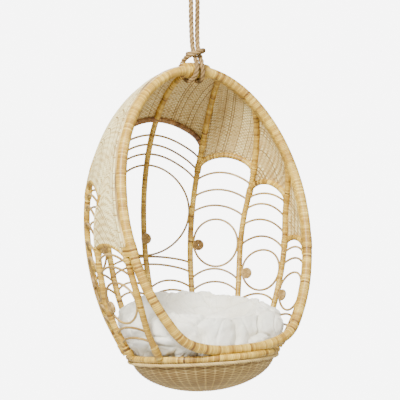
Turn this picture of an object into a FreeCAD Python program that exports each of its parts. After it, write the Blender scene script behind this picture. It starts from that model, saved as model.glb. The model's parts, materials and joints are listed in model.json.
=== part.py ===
# Hanging egg chair of wrapped rattan poles, woven cane hood, wicker bowl and loose seat cushion,
# hung on one doubled rope from a swivel under a ceiling plate.
#
# Two frames are used.  The world frame has its origin on the top face of the ceiling plate, +Z up,
# the chair facing -Y.  The chair frame has its origin at the centre of the base ring's plane on the
# axis of the egg, +Z along that axis; one placement (chair_place) tilts it back and hangs it.
import FreeCAD, Part
import math
import os
import Sketcher

from FreeCAD import Matrix, Placement, Rotation, Vector

os.makedirs("parts", exist_ok=True)
doc = FreeCAD.newDocument("hanging_egg_chair")

# ------------------------------------------------------------------ driving dimensions (mm, degrees)
sheet = doc.addObject("Spreadsheet::Sheet", "dimensions")
DIMENSIONS = (
    # the egg: two half ellipsoids that share one equator
    ("egg_radius", 421), ("egg_equator", 470), ("egg_rise", 596), ("egg_drop", 638),
    ("ring_shift", 15), ("ring_shift_height", 100),
    # poles
    ("hoop_radius", 17), ("rear_hoop_radius", 11.5), ("rib_radius", 11.5), ("arch_radius", 9),
    ("cane_radius", 3), ("hoop_lean", 10.92), ("hoop_foot", 241), ("hoop_spacing", 28.8),
    ("ring_radius", 278), ("ring_pole", 11),
    # bowl, discs, cane sheet, wraps
    ("bowl_radius", 270), ("bowl_depth", 140), ("bowl_wall", 8), ("bowl_top", 13),
    ("braid_radius", 7), ("braid_ring", 277), ("braid_drop", 18.5),
    ("disc_radius", 22.5), ("disc_thick", 10), ("sheet_thick", 5),
    ("wrap_radius", 29.5), ("wrap_half", 62), ("binding_thick", 2),
    # cushion
    ("cushion_front_gap", 21), ("cushion_shift", 12),
    # hanging
    ("chair_tilt", 5.5), ("hoop_hang", 455),
    ("rope_radius", 9.5), ("rope_clearance", 1.5),
    ("plate_size", 100), ("plate_thick", 8), ("plate_pitch", 76), ("plate_hole", 7),
    ("shaft_bore", 16.1), ("housing_radius", 24), ("housing_length", 34), ("housing_bore", 17),
    ("housing_floor", 6), ("bearing_height", 8), ("bearing_radius", 16.7),
    ("shaft_radius", 8), ("nut_radius", 13), ("nut_height", 10),
    ("eye_radius", 22), ("eye_wire", 5), ("eye_centre", 76),
    ("link_radius", 34), ("link_wire", 6), ("link_clearance", 0.4),
)
for row, (alias, value) in enumerate(DIMENSIONS, start=1):
    sheet.set("A%d" % row, alias)
    sheet.set("B%d" % row, str(value))
    sheet.setAlias("B%d" % row, alias)
doc.recompute()


def dim(alias):
    """A driving dimension read from the sheet."""
    return float(getattr(sheet, alias))


def bind(obj, **expressions):
    """Bind properties of a document object to the sheet."""
    for name, text in expressions.items():
        obj.setExpression(name, text)


# ------------------------------------------------------------------ places
LEAN = math.radians(dim("hoop_lean"))
TILT = math.radians(dim("chair_tilt"))
EGG_CENTRE = Vector(0, 0, dim("egg_equator"))


def egg_radius_at(height):
    """Radius of the egg at a height above the base ring."""
    above = height - dim("egg_equator")
    reach = dim("egg_rise") if above > 0 else dim("egg_drop")
    return dim("egg_radius") * math.sqrt(max(0.0, 1 - (above / reach) ** 2))


def egg_shift_at(height):
    """How far behind the axis the egg's section is centred, close above the ring."""
    share = max(0.0, 1 - height / dim("ring_shift_height"))
    return dim("ring_shift") * share ** 2


def on_egg(height, degrees, inset=0.0):
    """Point of the egg at a height, at an angle from straight back, positive to the +X side."""
    angle = math.radians(degrees)
    radius = egg_radius_at(height) - inset
    return Vector(radius * math.sin(angle), egg_shift_at(height) + radius * math.cos(angle), height)


def onto_egg(point, inset=0.0):
    """Move a point out from the egg's centre on to the egg."""
    ray = point - EGG_CENTRE
    reach = dim("egg_rise") if ray.z > 0 else dim("egg_drop")
    size = math.hypot(math.hypot(ray.x, ray.y) / dim("egg_radius"), ray.z / reach)
    return EGG_CENTRE + ray * ((1 - inset / dim("egg_radius")) / size)


def hoop_plane_at(height, behind=0.0):
    """Where the leaning plane of the front hoop, or one behind it, stands at a height."""
    foot_height = 10.0
    return -dim("hoop_foot") + (height - foot_height) * math.tan(LEAN) + behind / math.cos(LEAN)


def hoop_at(height, behind=0.0):
    """Point on the +X half of the line where that plane cuts the egg."""
    depth = hoop_plane_at(height, behind)
    across = egg_radius_at(height) ** 2 - (depth - egg_shift_at(height)) ** 2
    return Vector(math.sqrt(max(0.0, across)), depth, height)


def hoop_top(behind=0.0):
    """Highest point of that line, found by halving."""
    low, high = dim("egg_equator"), dim("egg_equator") + dim("egg_rise")
    for _ in range(60):
        middle = (low + high) / 2
        inside = egg_radius_at(middle) > abs(hoop_plane_at(middle, behind))
        low, high = (middle, high) if inside else (low, middle)
    return Vector(0, hoop_plane_at(low, behind), low)


def mirrored(point):
    return Vector(-point.x, point.y, point.z)


HOOP_TOP = hoop_top()
REAR_TOP = hoop_top(dim("hoop_spacing"))
HANGER_SHARE = (1 + (dim("rear_hoop_radius") - dim("hoop_radius")) / dim("hoop_spacing")) / 2
HANGER = HOOP_TOP + (REAR_TOP - HOOP_TOP) * HANGER_SHARE
hang_rotation = Rotation(Vector(1, 0, 0), -dim("chair_tilt"))
hang_point = Vector(0, 0, -dim("hoop_hang"))
chair_place = Placement(hang_point - hang_rotation.multVec(HANGER), hang_rotation)


# ------------------------------------------------------------------ shape helpers
def spline(points, closed=False):
    curve = Part.BSplineCurve()
    curve.interpolate(Points=points, PeriodicFlag=closed)
    return curve


def swept(curve, start, stop, radius):
    """Round bar along a stretch of a curve."""
    disc = Part.makeCircle(radius, curve.value(start), curve.tangent(start)[0])
    spine = Part.Wire([curve.toShape(start, stop)])
    solid = spine.makePipeShell([Part.Wire([disc])], True, False)
    if solid.Volume < 0:
        solid.reverse()
    return solid


def tube(points, radius, closed=False):
    """Round pole along a smooth line through the points; a closed one is two halves made one."""
    curve = spline(points, closed)
    start, stop = curve.FirstParameter, curve.LastParameter
    if not closed:
        return swept(curve, start, stop, radius)
    middle = (start + stop) / 2
    halves = [swept(curve, start, middle, radius), swept(curve, middle, stop, radius)]
    return halves[0].fuse(halves[1]).Solids[0]


def solid_of(faces):
    shell = Part.Shell(faces)
    if not shell.isClosed():
        shell.sewShape()
    solid = Part.Solid(shell)
    if solid.Volume < 0:
        solid.reverse()
    return solid


def sheet_solid(outer_rows, inner_rows):
    """Curved plate between two grids of points of the same size."""
    faces = []
    edges = []
    for rows in (outer_rows, inner_rows):
        surface = Part.BSplineSurface()
        surface.interpolate(rows)
        first_u, last_u, first_v, last_v = surface.bounds()
        faces.append(surface.toShape())
        edges.append([
            surface.uIso(first_u).toShape(), surface.uIso(last_u).toShape(),
            surface.vIso(first_v).toShape(), surface.vIso(last_v).toShape(),
        ])
    for outer_edge, inner_edge in zip(*edges):
        faces.append(Part.makeRuledSurface(outer_edge, inner_edge))
    return solid_of(faces)


placed = []


def keep(obj, label):
    obj.Label = label
    placed.append(obj)
    return obj


def feature(label, shape, place=chair_place):
    """Sub-part whose shape is built in the chair frame (or in the frame given)."""
    obj = doc.addObject("Part::Feature", label)
    obj.Shape = shape
    obj.Placement = place
    return keep(obj, label)


def primitive(kind, label, place, **expressions):
    obj = doc.addObject(kind, label)
    bind(obj, **expressions)
    obj.Placement = place
    return obj


# ------------------------------------------------------------------ ceiling plate, swivel, eye, link
def circle_sketch(body, name, centre, alias):
    """Sketch on the body's XY plane with one circle, its diameter bound to the sheet."""
    flat = [f for f in body.Origin.OriginFeatures if f.Role == "XY_Plane"][0]
    sketch = body.newObject("Sketcher::SketchObject", name)
    sketch.AttachmentSupport = [(flat, "")]
    sketch.MapMode = "FlatFace"
    circle = sketch.addGeometry(Part.Circle(centre, Vector(0, 0, 1), dim(alias) / 2))
    sketch.addConstraint(Sketcher.Constraint("Diameter", circle, dim(alias)))
    sketch.renameConstraint(0, "size")
    sketch.setExpression("Constraints.size", "dimensions." + alias)
    return sketch


def ceiling_plate():
    """Round plate with a ring of screw holes."""
    body = doc.addObject("PartDesign::Body", "ceiling_plate")
    outline = circle_sketch(body, "plate_outline", Vector(), "plate_size")
    outline.addConstraint(Sketcher.Constraint("Coincident", 0, 3, -1, 1))
    plate = body.newObject("PartDesign::Pad", "plate")
    plate.Profile = outline
    plate.Reversed = True
    bind(plate, Length="dimensions.plate_thick")
    hole = circle_sketch(body, "hole_outline", Vector(dim("plate_pitch") / 2, 0, 0), "plate_hole")
    hole.addConstraint(Sketcher.Constraint("PointOnObject", 0, 3, -1))
    hole.addConstraint(Sketcher.Constraint("DistanceX", -1, 1, 0, 3, dim("plate_pitch") / 2))
    hole.renameConstraint(2, "reach")
    hole.setExpression("Constraints.reach", "dimensions.plate_pitch / 2")
    doc.recompute()
    cut = body.newObject("PartDesign::Pocket", "screw_hole")
    cut.Profile = hole
    cut.Type = "ThroughAll"
    doc.recompute()
    pattern = body.newObject("PartDesign::PolarPattern", "screw_holes")
    pattern.Originals = [cut]
    axis = [f for f in body.Origin.OriginFeatures if f.Role == "Z_Axis"][0]
    pattern.Axis = (axis, [""])
    pattern.Angle = 360
    pattern.Occurrences = 4
    body.Tip = pattern
    return keep(body, "ceiling_plate")


def cylinder(label, top, radius_text, height_text):
    obj = primitive("Part::Cylinder", label, Placement(), Radius=radius_text, Height=height_text)
    obj.setExpression("Placement.Base.z", top)
    return obj


def cut_of(label, base, tool):
    obj = doc.addObject("Part::Cut", label)
    obj.Base = base
    obj.Tool = tool
    return obj


ceiling_plate()

D = "dimensions."
housing_bottom = "-%splate_thick - %shousing_length" % (D, D)
housing_block = cylinder("housing_block", housing_bottom, D + "housing_radius", D + "housing_length")
housing_room = cylinder("housing_room", housing_bottom + " + %shousing_floor" % D,
                        D + "housing_bore", D + "housing_length")
housing_hole = cylinder("housing_hole", housing_bottom, D + "shaft_bore / 2", D + "housing_length")
housing_shell = cut_of("housing_shell", housing_block, housing_room)
keep(cut_of("swivel_housing", housing_shell, housing_hole), "swivel_housing")

bearing_bottom = housing_bottom + " + %shousing_floor" % D
bearing_block = cylinder("bearing_block", bearing_bottom, D + "bearing_radius", D + "bearing_height")
bearing_hole = cylinder("bearing_hole", bearing_bottom, D + "shaft_bore / 2", D + "bearing_height")
keep(cut_of("thrust_bearing", bearing_block, bearing_hole), "thrust_bearing")

nut_gap = 0.3
nut_bottom = bearing_bottom + " + %sbearing_height + %g" % (D, nut_gap)
nut_block = cylinder("nut_block", nut_bottom, D + "nut_radius", D + "nut_height")
nut_hole = cylinder("nut_hole", nut_bottom, D + "shaft_radius", D + "nut_height")
keep(cut_of("shaft_nut", nut_block, nut_hole), "shaft_nut")

# the shaft ends level with the top of its nut and runs down into the eye
nut_top = -dim("plate_thick") - dim("housing_length") + dim("housing_floor") \
    + dim("bearing_height") + nut_gap + dim("nut_height")
eye_top = -dim("eye_centre") + dim("eye_radius")
shaft = primitive("Part::Cylinder", "shaft", Placement(Vector(0, 0, eye_top), Rotation()),
                  Radius=D + "shaft_radius")
shaft.Height = nut_top - eye_top
eye_loop = primitive(
    "Part::Torus", "eye_loop",
    Placement(Vector(0, 0, -dim("eye_centre")), Rotation(Vector(1, 0, 0), 90)),
    Radius1=D + "eye_radius", Radius2=D + "eye_wire")
swivel_eye = doc.addObject("Part::Fuse", "swivel_eye")
swivel_eye.Base = shaft
swivel_eye.Tool = eye_loop
keep(swivel_eye, "swivel_eye")

# the link hangs on the eye's lower wire; its own lower wire carries the rope
EYE_WIRE = Vector(0, 0, -dim("eye_centre") - dim("eye_radius"))
link_top = EYE_WIRE.z + dim("eye_wire") + dim("link_wire") + dim("link_clearance")
LINK_WIRE = Vector(0, 0, link_top - 2 * dim("link_radius"))
link = primitive(
    "Part::Torus", "hanging_ring",
    Placement(Vector(0, 0, link_top - dim("link_radius")), Rotation(Vector(0, 1, 0), 90)),
    Radius1=D + "link_radius", Radius2=D + "link_wire")
keep(link, "hanging_ring")


# ------------------------------------------------------------------ rope
SIDE = Vector(1, 0, 0)
BACK = Vector(0, 1, 0)
UP = Vector(0, 0, 1)


def around(centre, radius, start, stop, steps, across, drift=(0.0, 0.0)):
    """Corners of a polygon whose sides touch a circle, drifting along the X axis where asked.

    The angles run from the direction across towards straight up.
    """
    corner = radius / math.cos(math.radians((stop - start) / steps / 2))
    points = []
    for step in range(steps + 1):
        angle = math.radians(start + (stop - start) * step / steps)
        sideways = drift[0] + (drift[1] - drift[0]) * step / steps
        points.append(centre + across * (corner * math.cos(angle)) + UP * (corner * math.sin(angle))
                      + SIDE * sideways)
    return points


def rope_route():
    """Hitch round the wrapped hoop, up one leg, over the link, down the other leg, second turn."""
    turn = dim("wrap_radius") + dim("rope_radius") + dim("rope_clearance")
    bight = dim("link_wire") + dim("rope_radius") + 0.5
    h = hang_point
    crossing = [h + Vector(-17, 25, 62), h + Vector(2, 26, 66), h + Vector(23, 20, 70),
                h + Vector(33, -2, 74), h + Vector(26, -27, 75), h + Vector(6, -43, 71),
                h + Vector(-18, -44, 63), h + Vector(-36, -24, 53)]
    left_turn = around(h, turn, 440, 170, 6, BACK, (-38, -12))
    left_leg = [h + Vector(-12, -25, 50), h + Vector(-11.5, 0, 92)]
    over_link = around(LINK_WIRE, bight, 157.5, 22.5, 3, SIDE)
    right_leg = [h + Vector(11.5, 0, 92), h + Vector(11, -25, 50)]
    right_turn = around(h, turn, 170, 395, 5, BACK, (11, 34))
    return crossing + left_turn + left_leg + over_link + right_leg + right_turn


def rope_path(points):
    """Straight runs joined by tangent arcs, each as large as its two runs allow."""
    edges = []
    radii = []
    here = points[0]
    share = 0.45
    for before, corner, after in zip(points, points[1:], points[2:]):
        inward = (before - corner).normalize()
        outward = (after - corner).normalize()
        reach = share * min((before - corner).Length, (after - corner).Length)
        half_turn = (math.pi - inward.getAngle(outward)) / 2
        radii.append(reach / math.tan(half_turn))
        first = corner + inward * reach
        last = corner + outward * reach
        middle_way = (inward + outward).normalize()
        middle = corner + middle_way * (radii[-1] / math.cos(half_turn) - radii[-1])
        edges.append(Part.LineSegment(here, first).toShape())
        edges.append(Part.Arc(first, middle, last).toShape())
        here = last
    edges.append(Part.LineSegment(here, points[-1]).toShape())
    return Part.Wire(edges), radii


def rope():
    path, radii = rope_path(rope_route())
    start = path.Edges[0]
    disc = Part.makeCircle(dim("rope_radius"), start.Vertexes[0].Point,
                           start.tangentAt(start.FirstParameter))
    solid = path.makePipeShell([Part.Wire([disc])], True, False)
    section = math.pi * dim("rope_radius") ** 2
    print("rope length %.0f mm, volume ratio %.4f" % (path.Length, solid.Volume / section / path.Length))
    print("rope arc radii", " ".join("%.0f" % r for r in radii))
    return solid


feature("rope", rope(), Placement())


# ------------------------------------------------------------------ hoops, ribs, base ring
SPLIT_HEIGHT = 300.0
LEG_ANGLE = 114.0
SIDE_NAMES = ((1, "right"), (-1, "left"))


def front_hoop_half():
    """From the top to the foot of the front hoop, on the +X side."""
    lay = [hoop_at(height) for height in (1047, 1005, 920, 790, 640, 490, 340, 210, 120, 70)]
    foot = ((155, 36), (78, 24))
    lay += [Vector(across, hoop_plane_at(height), height) for across, height in foot]
    return lay


def front_hoop():
    half = front_hoop_half()
    foot_height = 21.5
    foot = Vector(0, hoop_plane_at(foot_height), foot_height)
    line = [HOOP_TOP] + half + [foot] + [mirrored(p) for p in reversed(half)]
    return tube(line, dim("hoop_radius"), closed=True)


def rear_hoop_half():
    """From the top to the base ring: beside the front hoop, then down a leg of its own."""
    behind = dim("hoop_spacing")
    lay = [hoop_at(height, behind) for height in (1047, 1005, 920, 790, 640, 490, 380)]
    lay.append(on_egg(SPLIT_HEIGHT, 111.5))
    lay += [on_egg(height, LEG_ANGLE - 1) for height in (210, 110)]
    lay.append(on_egg(6, LEG_ANGLE + 1.5))
    return lay


def rear_hoop():
    half = rear_hoop_half()
    line = [mirrored(p) for p in reversed(half)] + [REAR_TOP] + half
    return tube(line, dim("rear_hoop_radius"))


# each rib on the +X side: lower part as (height, angle), then a chord on the egg to the rear hoop
RIBS = {
    0: (((6, 0), (160, 0), (330, 0), (520, 0), (700, 0)), REAR_TOP.z),
    1: (((6, 25), (160, 26), (330, 26.6), (520, 28.6), (700, 33)), 1041.0),
    2: (((6, 56), (160, 55), (330, 55.5), (520, 59.5)), 928.0),
    3: (((6, 84), (120, 82.5), (250, 84.5), (400, 87), (530, 89.5)), 706.0),
}


def rib_line(index, side=1):
    lower, attach_height = RIBS[index]
    low_points = [on_egg(height, degrees) for height, degrees in lower]
    attach = hoop_at(attach_height, dim("hoop_spacing")) if index else REAR_TOP
    shares = (0.25, 0.5, 0.75) if index < 3 else (0.5,)
    high_points = [onto_egg(low_points[-1] + (attach - low_points[-1]) * share) for share in shares]
    line = low_points + high_points + [attach]
    return line if side > 0 else [mirrored(p) for p in line]


def point_at_height(line, height):
    """Point of a rising line at a height."""
    curve = spline(line)
    low, high = curve.FirstParameter, curve.LastParameter
    for _ in range(50):
        middle = (low + high) / 2
        low, high = (middle, high) if curve.value(middle).z < height else (low, middle)
    return curve.value(low)


def angle_of(point):
    return math.degrees(math.atan2(point.x, point.y - egg_shift_at(point.z)))


def bay_line(index):
    """Rib 0 to 3, or for index 4 the rear hoop with its leg, rising, on the +X side."""
    return rib_line(index) if index < 4 else list(reversed(rear_hoop_half()))


feature("front_hoop", front_hoop())
feature("rear_hoop", rear_hoop())
feature("rib_centre", tube(rib_line(0), dim("rib_radius")))
for side, side_name in SIDE_NAMES:
    for index in (1, 2, 3):
        feature("rib_%s_%d" % (side_name, index), tube(rib_line(index, side), dim("rib_radius")))

ring_place = chair_place.multiply(Placement(Vector(0, dim("ring_shift"), 0), Rotation()))
keep(primitive("Part::Torus", "base_ring", ring_place,
               Radius1=D + "ring_radius", Radius2=D + "ring_pole"), "base_ring")
braid_place = ring_place.multiply(Placement(Vector(0, 0, -dim("braid_drop")), Rotation()))
keep(primitive("Part::Torus", "bowl_border", braid_place,
               Radius1=D + "braid_ring", Radius2=D + "braid_radius"), "bowl_border")

TOP_BEND = 305.0        # radius of the hoops' curve at the top
wrap_line = []
for share in (-1, -0.5, 0, 0.5, 1):
    across = share * dim("wrap_half")
    wrap_line.append(HANGER + Vector(across, 0, -across ** 2 / (2 * TOP_BEND)))
feature("hanger_wrap", tube(wrap_line, dim("wrap_radius")))


def split_binding(side):
    """Sleeve of wound cane round both hoops, just above where they part."""
    sleeves = []
    for behind, radius in ((0.0, dim("hoop_radius")), (dim("hoop_spacing"), dim("rear_hoop_radius"))):
        line = [hoop_at(height, behind) for height in (372, 390, 408)]
        line = line if side > 0 else [mirrored(p) for p in line]
        sleeves.append(tube(line, radius + dim("binding_thick")))
    return sleeves[0].fuse(sleeves[1]).Solids[0]


for side, side_name in SIDE_NAMES:
    feature("split_binding_" + side_name, split_binding(side))


# ------------------------------------------------------------------ bays: arch, canes, loop, sheet
# bay: left line, right line, (left end, rise, right end) of each arch; the centre bay spans two
BAYS = {
    "centre": dict(edges=(-1, 1), arch=(815, 105, 815),
                   canes=((766, 97, 766), (718, 109, 718), (679, 111, 679),
                          (338, 34, 338), (298, 43, 298)), loop=(562, 184)),
    "1": dict(edges=(1, 2), arch=(722, 62, 700),
              canes=((676, 45, 643), (609, 40, 582), (544, 41, 516), (268, 48, 253), (217, 44, 206)),
              loop=(416, 98)),
    "2": dict(edges=(2, 3), arch=(606, 62, 568),
              canes=((588, 32, 553), (541, 42, 496), (478, 43, 430), (395, 50, 366),
                     (170, 34, 160), (124, 34, 116)), loop=(294, 81)),
    "3": dict(edges=(3, 4), arch=(388, 42, 356),
              canes=((352, 36, 332), (305, 36, 292), (92, 24, 100), (58, 20, 66)), loop=(207, 72)),
}
HALF_CANES = ((238, 36, 232), (204, 28, 204))     # short arches each side of the centre rib
CANE_FULLNESS = 0.85        # 1 is a plain bow, less is squarer at the shoulders


def bay_ends(edges, low_height, high_height):
    """Points on the two lines that bound a bay, the first mirrored for the centre bay."""
    first = point_at_height(bay_line(abs(edges[0])), low_height)
    last = point_at_height(bay_line(edges[1]), high_height)
    return (mirrored(first) if edges[0] < 0 else first), last


def arch_line(edges, arch, count=9, fullness=0.6, side=1):
    """Rounded arch across a bay, on the egg."""
    low, rise, high = arch
    first, last = bay_ends(edges, low, high)
    start, stop = angle_of(first), angle_of(last)
    line = [first]
    for step in range(1, count - 1):
        share = 0.5 - 0.5 * math.cos(math.pi * step / (count - 1))
        height = low + (high - low) * share + rise * (4 * share * (1 - share)) ** fullness
        line.append(on_egg(height, start + (stop - start) * share))
    line.append(last)
    return line if side > 0 else [mirrored(p) for p in line]


def loop_line(edges, loop, side=1, count=16):
    """Oval that just reaches the poles each side of a bay."""
    middle, half_height = loop
    first, last = bay_ends(edges, middle, middle)
    clear = math.degrees((dim("rib_radius") + dim("cane_radius") - 0.5) / egg_radius_at(middle))
    start, stop = angle_of(first) + clear, angle_of(last) - clear
    line = []
    for step in range(count):
        turn = 2 * math.pi * step / count
        line.append(on_egg(middle + half_height * math.sin(turn),
                           (start + stop) / 2 + (stop - start) / 2 * math.cos(turn)))
    return line if side > 0 else [mirrored(p) for p in line]


def canes_shape(bay, side):
    solids = [tube(arch_line(bay["edges"], cane, 9, CANE_FULLNESS, side), dim("cane_radius"))
              for cane in bay["canes"]]
    if bay["edges"][0] < 0:
        for half in (1, -1):
            solids += [tube(arch_line((0, 1), cane, 9, CANE_FULLNESS, half), dim("cane_radius"))
                       for cane in HALF_CANES]
    return Part.makeCompound(solids)


def between(line, low_height, high_height, count):
    """Points of a rising line from one height to another."""
    curve = spline(line)
    ends = [curve.parameter(point_at_height(line, height)) for height in (low_height, high_height)]
    step = (ends[1] - ends[0]) / (count - 1)
    return [curve.value(ends[0] + step * index) for index in range(count)]


def along_hoop(first, last, count):
    """Points of the rear hoop's line between two of its points."""
    top = REAR_TOP
    half = rear_hoop_half()[:8]
    curve = spline([mirrored(p) for p in reversed(half)] + [top] + half)
    start, stop = curve.parameter(first), curve.parameter(last)
    return [curve.value(start + (stop - start) * index / (count - 1)) for index in range(count)]


def coons(bottom, top, left, right):
    """Grid of points inside four boundary rows that share their corners."""
    columns, rows = len(bottom), len(left)
    grid = []
    for j in range(rows):
        t = j / (rows - 1)
        row = []
        for i in range(columns):
            s = i / (columns - 1)
            sides = left[j] * (1 - s) + right[j] * s
            ends = bottom[i] * (1 - t) + top[i] * t
            corners = (bottom[0] * (1 - s) + bottom[-1] * s) * (1 - t) \
                + (top[0] * (1 - s) + top[-1] * s) * t
            row.append(sides + ends - corners)
        grid.append(row)
    return grid


SHEET_TOP = {"centre": (1036, 1036), "1": (1036, 922), "2": (922, 700), "3": (672, 690)}


def hood_sheet(name, bay, side):
    """Woven cane between an arch and the rear hoop, a little outside the ribs' centres."""
    first_edge, last_edge = bay["edges"]
    low, rise, high = bay["arch"]
    columns, rows = 9, 7
    low_top, high_top = SHEET_TOP[name]
    left = between(bay_line(abs(first_edge)), low, low_top, rows)
    if first_edge < 0:
        left = [mirrored(p) for p in left]
    right = between(bay_line(last_edge), high, high_top, rows)
    bottom = arch_line(bay["edges"], bay["arch"], columns)
    bottom[0], bottom[-1] = left[0], right[0]
    if name == "3":
        top = [left[-1] + (right[-1] - left[-1]) * (i / (columns - 1)) for i in range(columns)]
    else:
        top = along_hoop(left[-1], right[-1], columns)
        top[0], top[-1] = left[-1], right[-1]
    grid = coons(bottom, top, left, right)
    outer = -dim("rib_radius") + 1
    inner = outer + dim("sheet_thick")
    skins = []
    for inset in (outer, inner):
        rows_of_points = []
        for row in grid:
            moved = [onto_egg(p, inset) for p in row]
            rows_of_points.append(moved if side > 0 else [mirrored(p) for p in moved])
        skins.append(rows_of_points)
    solid = sheet_solid(skins[0], skins[1])
    if name == "centre":
        solid = solid.cut(rope_room()).Solids[0]
    return solid


def rope_room():
    """Round room about the wrapped hoop top, where the rope passes through the sheet."""
    radius = dim("wrap_radius") + 2 * dim("rope_radius") + 2 * dim("rope_clearance")
    start, length = -52.0, 100.0
    return Part.makeCylinder(radius, length, HANGER + SIDE * start, SIDE)


def add_bay(name, bay, side, label):
    feature("hood_sheet_" + label, hood_sheet(name, bay, side))
    feature("hood_arch_" + label, tube(arch_line(bay["edges"], bay["arch"], side=side),
                                       dim("arch_radius")))
    feature("cane_arches_" + label, canes_shape(bay, side))
    feature("cane_loop_" + label, tube(loop_line(bay["edges"], bay["loop"], side),
                                       dim("cane_radius"), closed=True))


add_bay("centre", BAYS["centre"], 1, "centre")
for side, side_name in SIDE_NAMES:
    for name in ("1", "2", "3"):
        add_bay(name, BAYS[name], side, side_name + "_" + name)


# ------------------------------------------------------------------ spiral discs
def disc_at(label, height, degrees, inset):
    """Disc lying on the egg, its axis square to the surface."""
    centre = on_egg(height, degrees, inset)
    slope = (on_egg(height + 5, degrees) - on_egg(height - 5, degrees)).normalize()
    level = Vector(math.cos(math.radians(degrees)), -math.sin(math.radians(degrees)), 0)
    outward = slope.cross(level).normalize()
    if outward.dot(centre - EGG_CENTRE) < 0:
        outward = -outward
    spot = centre - outward * (dim("disc_thick") / 2)
    place = chair_place.multiply(Placement(spot, Rotation(Vector(0, 0, 1), outward)))
    keep(primitive("Part::Cylinder", label, place, Radius=D + "disc_radius", Height=D + "disc_thick"),
         label)


DISCS = {1: 411, 2: 284, 3: 192}       # height of the disc beside each rib
disc_at("disc_centre", 446, 0, dim("rib_radius") + dim("disc_thick") / 2 - 0.5)
for side, side_name in SIDE_NAMES:
    for index, height in DISCS.items():
        rib_angle = angle_of(point_at_height(rib_line(index), height))
        beside = (dim("rib_radius") + dim("disc_radius") - 0.5) / egg_radius_at(height)
        disc_at("disc_%s_%d" % (side_name, index), height,
                side * (rib_angle + math.degrees(beside)), 0.0)


# ------------------------------------------------------------------ bowl and cushion
def bowl():
    """Open half ellipsoid hung under the base ring."""
    top = -dim("bowl_top")
    line = []
    for inset in (0.0, dim("bowl_wall")):
        wide, deep = dim("bowl_radius") - inset, dim("bowl_depth") - inset
        start = math.asin(-top / deep)
        arc = []
        for step in range(9):
            angle = start + (math.pi / 2 - start) * step / 8
            arc.append(Vector(wide * math.cos(angle), 0, -deep * math.sin(angle)))
        arc[-1] = Vector(0, 0, -deep)
        line.append(arc)
    outer, inner = line
    edges = [spline(outer).toShape(), Part.LineSegment(outer[-1], inner[-1]).toShape(),
             spline(inner).toShape(), Part.LineSegment(inner[0], outer[0]).toShape()]
    wall = Part.Face(Part.Wire(Part.__sortEdges__(edges)))
    solid = wall.revolve(Vector(), UP, 360)
    return solid if solid.ShapeType == "Solid" else solid.Solids[0]


feature("bowl", bowl(), ring_place)

CUSHION_OUTLINE = ((60, -62), (130, -55), (205, -34), (254, 4), (296, 52), (316, 104), (308, 152),
                   (276, 188), (236, 196), (175, 158), (90, 118))


def cushion_ring(radius, height):
    """Outline of the cushion at one level: a circle pressed in at the front by the hoop.

    The upper levels lean, low at the front and high where the cushion rests against the ribs.
    """
    front = hoop_plane_at(height, dim("cushion_front_gap"))
    softness, count = 12.0, 28
    lean = 0.21 * max(0.0, height) / 196
    points = []
    for step in range(count):
        angle = 2 * math.pi * step / count
        depth = radius * math.cos(angle) + dim("cushion_shift")
        depth = (depth + front) / 2 + math.hypot((depth - front) / 2, softness)
        points.append(Vector(radius * math.sin(angle), depth, height + lean * (depth + 50)))
    return Part.Wire([spline(points, closed=True).toShape()])


def cushion():
    """Round nest cushion with a deep rim and a hollow middle."""
    return Part.makeLoft([cushion_ring(*place) for place in CUSHION_OUTLINE], True, False)


feature("seat_cushion", cushion())

# ------------------------------------------------------------------ check and write
doc.recompute()
for obj in doc.Objects:
    if "Invalid" in obj.State or "Error" in obj.State:
        raise RuntimeError("%s did not recompute" % obj.Label)
for obj in placed:
    if obj.Shape.isNull() or not obj.Shape.isValid():
        raise RuntimeError("%s has no valid shape" % obj.Label)
for obj in placed:
    obj.Shape.exportStep("parts/%s.step" % obj.Label)
print("wrote %d sub-parts" % len(placed))
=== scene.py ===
import bpy
import json
import math
import numpy as np
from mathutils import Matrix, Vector, noise


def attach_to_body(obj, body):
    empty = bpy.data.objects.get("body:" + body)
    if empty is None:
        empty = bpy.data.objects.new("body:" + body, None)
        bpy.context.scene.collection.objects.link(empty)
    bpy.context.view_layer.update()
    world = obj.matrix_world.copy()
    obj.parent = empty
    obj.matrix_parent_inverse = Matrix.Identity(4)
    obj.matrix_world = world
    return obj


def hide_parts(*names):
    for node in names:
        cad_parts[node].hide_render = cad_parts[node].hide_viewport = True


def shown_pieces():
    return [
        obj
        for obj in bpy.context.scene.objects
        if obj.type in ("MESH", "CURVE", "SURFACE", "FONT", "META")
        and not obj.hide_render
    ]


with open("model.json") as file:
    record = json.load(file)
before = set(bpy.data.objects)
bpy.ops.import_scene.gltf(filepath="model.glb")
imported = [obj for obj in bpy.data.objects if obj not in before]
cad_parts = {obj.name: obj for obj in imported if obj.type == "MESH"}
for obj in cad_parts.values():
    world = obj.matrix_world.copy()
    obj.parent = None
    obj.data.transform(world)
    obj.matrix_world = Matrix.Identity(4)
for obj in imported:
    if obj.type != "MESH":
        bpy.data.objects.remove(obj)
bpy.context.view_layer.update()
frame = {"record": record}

# ------------------------------------------------------------------ the chair frame and the egg
# Lengths in metres.  Chair frame: origin in the plane of the base ring on the egg's axis, +Z along
# the axis; the chair is tilted back about X and hung from the point where the hoop rocks.
EGG_RADIUS, EGG_EQUATOR, EGG_RISE, EGG_DROP = 0.421, 0.470, 0.596, 0.638
RING_SHIFT, RING_SHIFT_HEIGHT = 0.015, 0.100
HOOP_RADIUS, REAR_RADIUS, RIB_RADIUS, ARCH_RADIUS, CANE_RADIUS = 0.017, 0.0115, 0.0115, 0.009, 0.003
HOOP_LEAN, HOOP_FOOT, HOOP_FOOT_HEIGHT, HOOP_SPACING = math.radians(10.92), 0.241, 0.010, 0.0288
RING_RADIUS, RING_POLE = 0.278, 0.011
CHAIR_TILT = math.radians(5.5)
ROPE_RADIUS, WRAP_RADIUS, ROPE_CLEARANCE = 0.0095, 0.0295, 0.0015
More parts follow.
